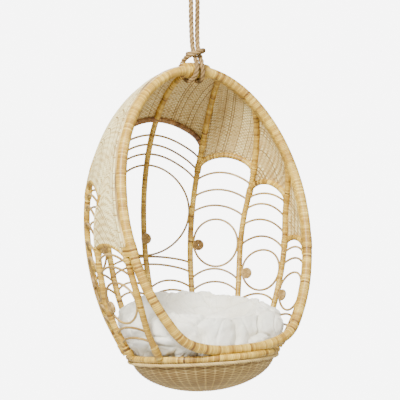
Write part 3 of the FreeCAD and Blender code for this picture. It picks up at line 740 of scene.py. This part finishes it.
def hood_grid(bay):
    """Fine grid of points between an arch and the rear hoop, from side to side of a bay."""
    first_edge, last_edge = bay["edges"]
    low, _, high = bay["arch"]
    low_top, high_top = bay["top"]
    left = cut_line(RISING[abs(first_edge)], low, low_top)
    right = cut_line(RISING[last_edge], high, high_top)
    bottom = arch_line(bay["edges"], bay["arch"], GRID_STEP)
    columns = len(bottom)
    rows = int(max(lengths(left)[-1], lengths(right)[-1]) / GRID_STEP)
    left, right = resampled(left, count=rows), resampled(right, count=rows)
    if first_edge < 0:
        left = mirrored(left)
    if last_edge < 4:
        start, stop = nearest(REAR_LINE, left[-1]), nearest(REAR_LINE, right[-1])
        top = resampled(REAR_LINE[start:stop + 1], count=columns)
    else:
        top = left[-1] + (right[-1] - left[-1]) * np.linspace(0, 1, columns)[:, None]
    s = np.linspace(0, 1, columns)[None, :, None]
    t = np.linspace(0, 1, rows)[:, None, None]
    sides = left[:, None] * (1 - s) + right[:, None] * s
    ends = bottom[None] * (1 - t) + top[None] * t
    corners = (bottom[0] * (1 - s) + bottom[-1] * s) * (1 - t) + (top[0] * (1 - s) + top[-1] * s) * t
    return sides + ends - corners


def weave(across, along, twill, seed):
    """Rise, painted shade (lit) and tone of strips crossing at right angles, seen from one side; twill 0 is
    plain weave.
    """
    a, b = across / WARP, along / WEFT
    i, j = np.floor(a), np.floor(b)
    over = (i + twill * j) % 4 < 2 if twill else (i + j) % 2 < 1
    x, y = 2 * (a - i) - 1, 2 * (b - j) - 1
    warp_face = (1 - np.abs(x) ** 6) * (0.72 + 0.28 * np.cos(y * np.pi / 2))
    weft_face = (1 - np.abs(y) ** 6) * (0.72 + 0.28 * np.cos(x * np.pi / 2))
    rise = np.where(over, warp_face, weft_face * 0.9)
    strip = np.where(over, scatter(i * 1.3 + seed), scatter(j * 2.1 + seed + 50))
    # lit darkens the edges of each strip into the slots between neighbouring strips, most along some wider
    # slots: painted shade.
    wide_shaded_slot = scatter(np.round(a) * 0.77 + seed) > 0.62
    gap = np.clip((np.abs(x) - np.where(wide_shaded_slot, 0.70, 0.86)) / 0.14, 0, 1)
    lit = np.where(over, 1 - np.where(wide_shaded_slot, 0.8, 0.5) * gap,
                   1 - 0.6 * np.clip((np.abs(y) - 0.74) / 0.2, 0, 1))
    lit = lit * np.where(wide_shaded_slot, 1 - 0.4 * gap, 1.0)
    return rise * WEAVE_RISE, lit ** 1.4, strip + np.where(over, 0.45, -0.45)


def room_for_rope(points):
    """Sheet points pushed back from the wrapped hoop top, where the rope goes round it."""
    away = points[..., 1:] - HANGER[1:]
    distance = np.linalg.norm(away, axis=-1)
    inside = np.clip((0.064 - np.abs(points[..., 0] + 0.002)) / 0.012, 0, 1)
    window = inside * inside * (3 - 2 * inside)
    room = WRAP_RADIUS + 2 * ROPE_RADIUS + 2 * ROPE_CLEARANCE + 0.001
    clear = np.maximum(distance, REAR_RADIUS + (room - REAR_RADIUS) * window)
    moved = points.copy()
    moved[..., 1:] = HANGER[1:] + away * (clear / distance)[..., None]
    return moved


def hood_sheet(bay, side, label, seed):
    grid = hood_grid(bay)
    skin = onto_egg(grid, RIB_RADIUS - 0.0022)
    across = np.cumsum(np.linalg.norm(np.diff(skin, axis=1, prepend=skin[:, :1]), axis=2), axis=1)
    along = np.cumsum(np.linalg.norm(np.diff(skin, axis=0, prepend=skin[:1]), axis=2), axis=0)
    to_rib = np.minimum(across, across[:, -1:] - across)
    across = across - across[:, -1:] / 2
    if bay["edges"][0] < 0:
        to_rib = np.minimum(to_rib, np.abs(across))
    over_rib = 0.0034 * np.exp(-(to_rib / 0.012) ** 2)
    turn = bay["lay"]
    first = across * math.cos(turn) + along * math.sin(turn)
    second = along * math.cos(turn) - across * math.sin(turn)
    skins, tones = [], []
    for outside in (True, False):
        twill = 1 if outside else (-1 if turn else 0)
        rise, lit, strip = weave(first, second, twill, seed + (0 if outside else 9))
        middle = RIB_RADIUS - 0.0022 + over_rib if outside else RIB_RADIUS - 0.0050
        points = onto_egg(grid, middle + (rise if outside else -rise))
        if bay["edges"][0] < 0:
            points = room_for_rope(points)
        skins.append(points)
        # The inside face gets a darker base than the outside (painted shade inside the hood), and both are
        # multiplied by lit, the painted shade in the slots.
        base = 0.97 + 0.30 * (strip - 0.5) if outside else 0.71 + 0.26 * (strip - 0.5)
        tones.append(base * lit)
    points = np.concatenate([skins[0], skins[1][:, ::-1]], axis=1)
    tone = np.clip(np.concatenate([tones[0], tones[1][:, ::-1]], axis=1), 0, 1)
    rows, columns = points.shape[:2]
    uv = (np.arange(rows + 1) * GRID_STEP, np.arange(columns + 1) * GRID_STEP)
    sheet = grid_object("woven_hood_" + label, sided(points, side), tone, uv=uv, material=WEAVE)
    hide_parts("hood_sheet_" + label)


for number, (name, bay) in enumerate(BAYS.items()):
    for side, side_name in SIDES:
        label = "centre" if name == "centre" else side_name + "_" + name
        if name == "centre" and side < 0:
            continue
        add_bay_canes(bay, side, label, 40.0 + 7 * number + 3 * side)
        hood_sheet(bay, side, label, 5.0 * number + side)


EDGE_FOOT, EDGE_START = 0.400, 0.060


def hood_edge(side):
    """The hood's woven border, laid outside over the rear hoop up to the front hoop."""
    front = split_to_split(FRONT_LINE, EDGE_FOOT)
    rear = resampled(split_to_split(REAR_LINE, EDGE_FOOT), count=len(front))
    half = front[:, 0] * side > EDGE_START
    front, rear = front[half][::2], rear[half][::2]
    share = np.linspace(-0.55, 0.62, 26)
    base = rear[:, None] + (front - rear)[:, None] * share[None, :, None]
    bulge = 0.0080 + 0.0055 * np.clip((share + 0.55) / 0.5, 0, 1) ** 0.7
    along = lengths(rear)[:, None] + 0 * share
    across = (share * HOOP_SPACING)[None, :] + 0 * along
    rise, lit, strip = weave(across, along, 1, 3.0 + side)
    outer = onto_egg(base, bulge[None, :] + rise)
    inner = onto_egg(base, np.maximum(bulge - 0.002, 0.006)[None, :] + 0 * rise)
    tone = np.clip((0.97 + 0.30 * (strip - 0.5)) * lit, 0, 1)
    points = np.concatenate([outer, inner[:, ::-1]], axis=1)
    # The outer face carries lit, the painted shade in the slots; the inner face is painted 0.8 as bright:
    # painted shade.
    tone = np.concatenate([tone, tone[:, ::-1] * 0.8], axis=1)
    uv = (np.arange(len(points) + 1) * 0.002, np.arange(points.shape[1] + 1) * GRID_STEP)
    strip_piece = grid_object("hood_edge", points, tone, uv=uv, material=WEAVE)
    cord_line = smooth_line(onto_egg(base[::8, -2], np.full(len(base[::8]), 0.0145)), CANE_STEP)
    cord = thin_cane("hood_edge_cane", cord_line, seed=3.0 + side)
    cord.data.materials.clear()
    cord.data.materials.append(WEAVE)
    return [strip_piece, cord]


edge = joined("hood_border", hood_edge(1) + hood_edge(-1))


# ------------------------------------------------------------------ spiral discs
DISC_RADIUS, DISC_THICK = 0.0225, 0.010
DISCS = {1: 0.411, 2: 0.284, 3: 0.192}


def spiral_disc(label, height, degrees, inset, dark):
    centre = on_egg(height, degrees, inset)
    slope = on_egg(height + 0.005, degrees) - on_egg(height - 0.005, degrees)
    slope /= np.linalg.norm(slope)
    level = vec(math.cos(math.radians(degrees)), -math.sin(math.radians(degrees)), 0)
    outward = np.cross(slope, level)
    gap, sides = 0.0052, 12
    widest = DISC_RADIUS - gap / 2 + 0.0003
    angle = np.linspace(0.4, 2 * np.pi * (widest / gap + 0.98), 330)
    reach = np.minimum(gap * angle / (2 * np.pi), widest)
    radial = np.cos(angle)[:, None] * level + np.sin(angle)[:, None] * slope
    line = centre + radial * reach[:, None]
    share = turned(sides)
    points = line[:, None] + radial[:, None] * (np.cos(share) * gap * 0.54)[None, :, None] \
        + outward * (np.sin(share) * DISC_THICK / 2)[None, :, None]
    base = 0.30 if dark else 0.68
    # Lighter on the disc's faces and darker where neighbouring coils touch: painted shade between the coils.
    tone = base + 0.25 * (np.sin(share) ** 2 - 0.6)[None, :] + 0.1 * np.sin(angle * 5)[:, None]
    uv = tube_uv(lengths(line), sides, 0.02)
    disc = grid_object("spiral_" + label, points, np.clip(tone, 0, 1), uv=uv, material=DISC)
    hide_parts(label)


spiral_disc("disc_centre", 0.446, 0, RIB_RADIUS + DISC_THICK / 2 - 0.0005, False)
for side, side_name in SIDES:
    for index, height in DISCS.items():
        beside = (RIB_RADIUS + DISC_RADIUS - 0.0005) / egg_radius_at(height)
        degrees = side * (angle_of(point_at_height(RISING[index], height)) + math.degrees(beside))
        spiral_disc("disc_%s_%d" % (side_name, index), height, degrees, 0.0,
                    dark=index == 1 and side > 0)


# ------------------------------------------------------------------ bowl and its braid
BOWL_RADIUS, BOWL_DEPTH, BOWL_WALL, BOWL_TOP = 0.270, 0.140, 0.008, 0.013
STAKES, ROW = 46, 0.0062


def bowl_skin(inset, outside):
    wide, deep = BOWL_RADIUS - inset, BOWL_DEPTH - inset
    start = math.asin(BOWL_TOP / deep)
    angle = np.linspace(start, math.pi / 2 - 0.004, 170)
    profile = np.stack([wide * np.cos(angle), -deep * np.sin(angle)], 1)
    down = lengths(np.stack([profile[:, 0], 0 * angle, profile[:, 1]], 1))
    normal = np.stack([np.cos(angle) / wide, -np.sin(angle) / deep], 1)
    normal /= np.linalg.norm(normal, axis=1, keepdims=True)
    turn = np.arange(STAKES * 20) / (STAKES * 20) * 2 * np.pi
    row = down[:, None] / ROW + 0 * turn[None, :]
    k = np.floor(row)
    x = 2 * (row - k) - 1
    wave = np.cos(STAKES / 2 * turn[None, :] + np.pi * k)
    over_stake = np.clip(np.cos(STAKES * turn), 0, 1)[None, :] ** 5
    strand = (1 - np.abs(x) ** 3) * (0.42 + 0.16 * wave + 0.45 * over_stake)
    stake = 0.55 * over_stake - 0.1
    rise = np.maximum(strand, stake)
    slow = 0.5 + 0.5 * np.sin(turn * 3 + 1)[None, :]
    # Rows are lighter where they pass in front of a stake and darker behind one, and all tone darkens where
    # the weave sinks between rows and beside the stakes: painted shade.
    tone = 0.49 + 0.26 * (scatter(k + 3) - 0.5) + 0.10 * slow + 0.09 * over_stake + 0.10 * wave
    tone = tone * np.clip(0.25 + 1.4 * rise, 0.2, 1.0)
    fade = np.clip((math.pi / 2 - angle) / 0.25, 0, 1)[:, None]
    lift = 0.0026 * rise * fade * (1 if outside else -0.7)
    radius = profile[:, 0][:, None] + normal[:, 0][:, None] * lift
    height = profile[:, 1][:, None] + normal[:, 1][:, None] * lift
    points = np.stack([radius * np.sin(turn), RING_SHIFT - radius * np.cos(turn), height], -1)
    return points, tone


outer, outer_tone = bowl_skin(0.0014, True)
inner, inner_tone = bowl_skin(BOWL_WALL - 0.002, False)
bowl_points = np.concatenate([outer, inner[::-1]])
bowl_uv = (np.arange(len(bowl_points) + 1) * 0.002, np.arange(bowl_points.shape[1] + 1) * 0.002)
bowl = grid_object("wicker_bowl", bowl_points, np.clip(np.concatenate([outer_tone, inner_tone[::-1]]), 0, 1),
                   closed=True, uv=bowl_uv, material=WICKER)
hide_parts("bowl")


def strand(name, line, across, upward, strand_radius, lay_radius, lay, phase, closed, material, body, local,
           yarns=9, sides=14):
    """One strand laid round a centre line, with its yarns as ridges."""
    along = lengths(line)
    turn = 2 * np.pi * along / lay + phase
    core = line + lay_radius * (np.cos(turn)[:, None] * across + np.sin(turn)[:, None] * upward)
    angle = turned(sides)
    yarn_turns = 1.5 * np.round(along[-1] / lay) * along / along[-1]
    twist = yarns * (angle[None, :] - 2 * np.pi * yarn_turns[:, None])
    ridge = np.cos(twist)
    reach = strand_radius * (1 + 0.05 * ridge)
    points = core[:, None] + reach[..., None] * spokes(core, closed, angle)
    outward = np.einsum("ijk,ijk->ij", points - core[:, None], (core - line)[:, None]) \
        / (strand_radius * max(lay_radius, 1e-6))
    # Tone is darker in the grooves between yarns and on the side of each strand turned towards the others:
    # painted shade.
    tone = 0.55 + 0.16 * ridge + 0.28 * outward + 0.08 * np.sin(along * 90 + phase)[:, None]
    uv = tube_uv(along, sides, 0.05)
    return grid_object(name, points, np.clip(tone, 0, 1), closed=closed, uv=uv, material=material,
                       body=body, local=local)


BRAID_RING, BRAID_DROP, BRAID_TURNS = 0.277, 0.0185, 58
braid_line = ring_line[::3] * 1.0
braid_line[:, :2] = (braid_line[:, :2] - (0, RING_SHIFT)) * (BRAID_RING / RING_RADIUS) + (0, RING_SHIFT)
braid_line[:, 2] -= BRAID_DROP
braid_across, braid_up = frames(braid_line, True)
braid_lay = 2 * math.pi * BRAID_RING / BRAID_TURNS
braid = joined("bowl_braid", [
    strand("braid", braid_line, braid_across, braid_up, 0.0036, 0.0032, braid_lay, phase, True, WICKER,
           "chair", True) for phase in turned(3)])
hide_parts("bowl_border")


# ------------------------------------------------------------------ rope
SIDEWAYS, BACK, UP = vec(1, 0, 0), vec(0, 1, 0), vec(0, 0, 1)
BIGHT_RADIUS = 0.016


def around(centre, radius, start, stop, steps, across, drift=(0.0, 0.0)):
    """Corners of a polygon whose sides touch a circle, from the direction across towards up."""
    corner = radius / math.cos(math.radians((stop - start) / steps / 2))
    share = np.arange(steps + 1) / steps
    angle = np.radians(start + (stop - start) * share)
    sideways = drift[0] + (drift[1] - drift[0]) * share
    return centre + corner * np.cos(angle)[:, None] * across + corner * np.sin(angle)[:, None] * UP \
        + sideways[:, None] * SIDEWAYS


def rope_route():
    """Hitch round the wrapped hoop, up one leg, over the link, down the other leg, second turn."""
    turn = WRAP_RADIUS + ROPE_RADIUS + ROPE_CLEARANCE
    crossing = HANG_POINT + np.array([
        (-0.017, 0.025, 0.062), (0.002, 0.026, 0.066), (0.023, 0.020, 0.070), (0.033, -0.002, 0.074),
        (0.026, -0.027, 0.075), (0.006, -0.043, 0.071), (-0.018, -0.044, 0.063), (-0.036, -0.024, 0.053)])
    left_leg = HANG_POINT + np.array([(-0.012, -0.025, 0.050), (-0.0115, 0, 0.092)])
    right_leg = HANG_POINT + np.array([(0.0115, 0, 0.092), (0.011, -0.025, 0.050)])
    return np.concatenate([
        crossing, around(HANG_POINT, turn, 440, 170, 6, BACK, (-0.038, -0.012)), left_leg,
        around(LINK_WIRE, BIGHT_RADIUS, 157.5, 22.5, 3, SIDEWAYS), right_leg,
        around(HANG_POINT, turn, 170, 395, 5, BACK, (0.011, 0.034))])


def points_of_spline(route):
    """Points read from a spline with the route as its control points."""
    data = bpy.data.curves.new("rope_line", "CURVE")
    data.dimensions = "3D"
    data.resolution_u = 30
    spline = data.splines.new("NURBS")
    spline.points.add(len(route) - 1)
    for point, place in zip(spline.points, route):
        point.co = (*place, 1.0)
    spline.order_u = 3
    spline.use_endpoint_u = True
    line = bpy.data.objects.new("rope_line", data)
    bpy.context.scene.collection.objects.link(line)
    mesh = bpy.data.meshes.new_from_object(line.evaluated_get(bpy.context.evaluated_depsgraph_get()))
    points = np.array([vertex.co for vertex in mesh.vertices], float)
    bpy.data.objects.remove(line)
    bpy.data.meshes.remove(mesh)
    return points


rope_line = resampled(points_of_spline(rope_route()), 0.0022)
rope_across, rope_up = frames(rope_line)
ROPE_LAY, ROPE_LENGTH = 0.058, 1.21
rope = joined("rope_strands", [
    strand("rope", rope_line, rope_across, rope_up, 0.0050, 0.0047, ROPE_LAY, phase, False, FIBRE, "rope",
           False) for phase in turned(3)])
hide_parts("rope")


def whipping(name, line):
    """Twine wound tight round the rope's end."""
    along = lengths(line)
    sides = 20
    phase = along[:, None] / 0.0022 + np.arange(sides)[None, :] / sides
    reach = ROPE_RADIUS + 0.0002 + 0.0005 * np.abs(np.sin(np.pi * phase))
    points = line[:, None] + reach[..., None] * spokes(line, False, turned(sides))
    # Tone darkens in the grooves between turns of twine: painted shade.
    tone = 0.45 + 0.5 * np.abs(np.sin(np.pi * phase))
    uv = tube_uv(along, sides, 0.05)
    return grid_object(name, points, tone, uv=uv, material=FIBRE, body="rope", local=False)


whipping_end = resampled(rope_line[:9], 0.0004)
whipping_far = resampled(rope_line[-9:], 0.0004)
whippings = joined("rope_whippings", [whipping("whipping", whipping_end), whipping("whipping", whipping_far)])

# ------------------------------------------------------------------ cushion
CUSHION_OUTLINE = ((0.060, -0.062), (0.130, -0.055), (0.205, -0.034), (0.254, 0.004), (0.296, 0.052),
                   (0.316, 0.104), (0.308, 0.152), (0.276, 0.188), (0.236, 0.196), (0.175, 0.158),
                   (0.090, 0.118))
FRONT_GAP, FRONT_SOFTNESS, CUSHION_SHIFT = 0.021, 0.012, 0.012
CUSHION_INSET, CUSHION_SINK, CUSHION_LEAN = 0.002, 0.024, 0.21
CUSHION_SPREAD, CUSHION_HOLLOW, SWELL_CAP = 0.010, 0.030, 0.007


def cushion_form():
    """Closed mesh of the nest cushion, a little smaller than its room."""
    outline = np.array([(0.0, -0.064)] + list(CUSHION_OUTLINE) + [(0.0, 0.110)])
    flat = np.stack([outline[:, 0], 0 * outline[:, 0], outline[:, 1]], 1)
    profile = resampled(flat, count=44)[1:-1]
    step = np.gradient(profile, axis=0)
    step /= np.linalg.norm(step, axis=1, keepdims=True)
    inset = CUSHION_INSET + CUSHION_SINK * np.clip((profile[:, 2] - 0.110) / 0.050, 0, 1)
    radius = profile[:, 0] - step[:, 2] * CUSHION_INSET
    height = profile[:, 2] + step[:, 0] * inset
    middle = np.clip(1 - radius / 0.22, 0, 1) * (height > 0.05)
    height = height - CUSHION_HOLLOW * middle
    turn = 2 * np.pi * np.arange(120) / 120
    fold = 1 - 0.035 * np.abs(np.sin(turn * 4.5 + 0.6)) ** 14 * np.clip(height[:, None] / 0.1, 0, 1)
    wider = CUSHION_SPREAD * np.clip((radius - 0.20) / 0.10, 0, 1)[:, None] * np.abs(np.sin(turn)) ** 3
    reach = np.maximum(radius, 0.01)[:, None] * fold + wider
    depth = reach * np.cos(turn) + CUSHION_SHIFT
    front = hoop_plane_at(height, FRONT_GAP + CUSHION_INSET)[:, None]
    depth = (depth + front) / 2 + np.hypot((depth - front) / 2, FRONT_SOFTNESS)
    lean = CUSHION_LEAN * np.maximum(0, height[:, None]) / 0.196
    return np.stack([reach * np.sin(turn), depth, height[:, None] + lean * (depth + 0.050)], -1)


def puffs(co):
    """Lumps, tucks and pile of the plush: how far each point moves out."""
    out = np.empty(len(co))
    for number, point in enumerate(co):
        broad = noise.noise(Vector(point * 7.0))
        bent = Vector(point * vec(8.0, 8.0, 6.5) + vec(1.1, -0.7, 0.9) * broad)
        near, next_near = noise.voronoi(bent)[0][:2]
        valley = max(0.0, 1 - (next_near - near) / 0.30)
        lump = noise.noise(Vector(point * 17.0 + 0.6 * broad))
        small_lump = noise.noise(Vector(point * 42.0))
        tuck = 1 - abs(noise.noise(Vector(point * vec(20.0, 20.0, 9.0) + 1.5 * broad)))
        small = noise.noise(Vector(point * 110.0))
        out[number] = 0.009 * broad + 0.0085 * lump + 0.0026 * small_lump - 0.009 * valley ** 2 \
            - 0.003 * max(0.0, tuck - 0.85) / 0.15 + 0.0008 * small
    return out


def swelled(cushion):
    """Cloth blown up a little inside its cover, then made part of the mesh."""
    cloth = cushion.modifiers.new("swell", "CLOTH")
    settings = cloth.settings
    settings.quality = 6
    settings.mass = 0.3
    settings.tension_stiffness = 8
    settings.compression_stiffness = 4
    settings.bending_stiffness = 0.4
    settings.use_pressure = True
    settings.uniform_pressure_force = 4.0
    settings.effector_weights.gravity = 0.0
    cloth.point_cache.frame_start = 1
    cloth.point_cache.frame_end = 20
    before = positions(cushion.data)
    for number in range(1, 21):
        bpy.context.scene.frame_set(number)
    evaluated = cushion.evaluated_get(bpy.context.evaluated_depsgraph_get())
    after = positions(evaluated.to_mesh())
    evaluated.to_mesh_clear()
    cushion.modifiers.remove(cloth)
    bpy.context.scene.frame_set(1)
    move = after - before
    size = np.linalg.norm(move, axis=1, keepdims=True)
    move *= np.minimum(1, SWELL_CAP / np.maximum(size, 1e-9))
    cushion.data.vertices.foreach_set("co", (before + move).astype(np.float32).ravel())


def positions(mesh):
    values = np.empty(len(mesh.vertices) * 3, np.float32)
    mesh.vertices.foreach_get("co", values)
    return values.reshape(-1, 3).astype(float)


def applied(piece, kind, **settings):
    modifier = piece.modifiers.new(kind, kind)
    for key, value in settings.items():
        setattr(modifier, key, value)
    bpy.context.view_layer.update()
    mesh = bpy.data.meshes.new_from_object(piece.evaluated_get(bpy.context.evaluated_depsgraph_get()))
    piece.modifiers.remove(modifier)
    piece.data = mesh


cushion = grid_object("nest_cushion", cushion_form(), 0.5, material=cloth_material(), body=None)
applied(cushion, "REMESH", mode="VOXEL", voxel_size=0.006, use_smooth_shade=True)
swelled(cushion)
applied(cushion, "SUBSURF", levels=1)
spots = positions(cushion.data)
normals = np.array([vertex.normal for vertex in cushion.data.vertices], float)
rise = puffs(spots)
spots += normals * rise[:, None]
# Tone from the same rise: darker in the hollows, tucks and creases, lighter on the lumps: painted shade,
# turned to colour by the cloth's shade ramp.
hollow_shade = cushion.data.attributes.new("tone", "FLOAT", "POINT")
hollow_shade.data.foreach_set("value", np.clip(0.62 + rise / 0.020, 0, 1).astype(np.float32))
cushion.data.vertices.foreach_set("co", spots.astype(np.float32).ravel())
cushion.data.update()
cushion.data.shade_smooth()
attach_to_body(cushion, "cushion")
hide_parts("seat_cushion")

# ------------------------------------------------------------------ ceiling hardware
PAINTED = metal_material("painted_steel", (0.80, 0.80, 0.78), 0.45, 0.0)
ZINC = metal_material("zinc_steel", (0.62, 0.63, 0.64), 0.35, 1.0)
FINISHES = {"ceiling_plate": PAINTED, "swivel_housing": PAINTED, "thrust_bearing": ZINC,
            "shaft_nut": ZINC, "swivel_eye": ZINC, "hanging_ring": ZINC}
for node, finish in FINISHES.items():
    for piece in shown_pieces():
        if piece.name == node:
            piece.data.materials.clear()
            piece.data.materials.append(finish)

# ------------------------------------------------------------------ floor, lights and camera
def stage_material(colour):
    material, _, _, shader = new_material("studio")
    shader.inputs["Base Color"].default_value = (*colour, 1.0)
    shader.inputs["Roughness"].default_value = 0.9
    return material


FLOOR_RADIUS, FLOOR_HEIGHT, BACKDROP_RADIUS, BACKDROP_GLOW = 2.1, -2.25, 14, 7.0
bpy.ops.mesh.primitive_circle_add(vertices=96, radius=FLOOR_RADIUS, fill_type="NGON",
                                  location=(0, 0, FLOOR_HEIGHT))
floor = bpy.context.object
floor.name = "studio_floor"
floor.data.materials.append(stage_material((0.62, 0.62, 0.61)))

bpy.ops.mesh.primitive_uv_sphere_add(segments=32, ring_count=16, radius=BACKDROP_RADIUS, location=(0, 0, 0))
backdrop = bpy.context.object
backdrop.name = "studio_backdrop"
backdrop_material, _, _, backdrop_shader = new_material("backdrop")
backdrop_shader.inputs["Base Color"].default_value = (0.0, 0.0, 0.0, 1.0)
backdrop_shader.inputs["Emission Color"].default_value = (1.0, 1.0, 1.0, 1.0)
backdrop_shader.inputs["Emission Strength"].default_value = BACKDROP_GLOW
backdrop.data.materials.append(backdrop_material)
for kind in ("diffuse", "glossy", "transmission", "shadow"):
    setattr(backdrop, "visible_" + kind, False)

world = bpy.data.worlds.new("studio_world")
world.use_nodes = True
world.node_tree.nodes["Background"].inputs["Color"].default_value = (1.0, 1.0, 1.0, 1.0)
world.node_tree.nodes["Background"].inputs["Strength"].default_value = 0.50
bpy.context.scene.world = world


LIT_POINT = (0, 0, -0.9)


def area_light(name, place, size, power):
    data = bpy.data.lights.new(name, "AREA")
    data.size = size
    data.energy = power
    lamp = bpy.data.objects.new(name, data)
    lamp.location = place
    lamp.rotation_euler = (Vector(LIT_POINT) - Vector(place)).to_track_quat("-Z", "Y").to_euler()
    bpy.context.scene.collection.objects.link(lamp)


area_light("key_light", (-2.7, -1.9, 1.3), 1.0, 460.0)
area_light("fill_light", (1.0, -3.2, 0.9), 1.6, 85.0)
area_light("back_light", (0.8, 2.4, 1.2), 1.6, 90.0)

CAMERA_AZIMUTH, CAMERA_ELEVATION, CAMERA_DISTANCE = math.radians(-32.8), math.radians(-0.64), 3.83
CAMERA_TARGET = vec(0, -0.065, -0.845)
camera_data = bpy.data.cameras.new("camera")
camera_data.lens = 91.9
camera_data.shift_x, camera_data.shift_y = -0.00875, -0.0685
camera = bpy.data.objects.new("camera", camera_data)
toward = vec(math.sin(CAMERA_AZIMUTH) * math.cos(CAMERA_ELEVATION),
             -math.cos(CAMERA_AZIMUTH) * math.cos(CAMERA_ELEVATION), math.sin(CAMERA_ELEVATION))
camera.location = CAMERA_TARGET + toward * CAMERA_DISTANCE
camera.rotation_euler = (math.pi / 2 - CAMERA_ELEVATION, 0, CAMERA_AZIMUTH)
bpy.context.scene.collection.objects.link(camera)
bpy.context.scene.camera = camera
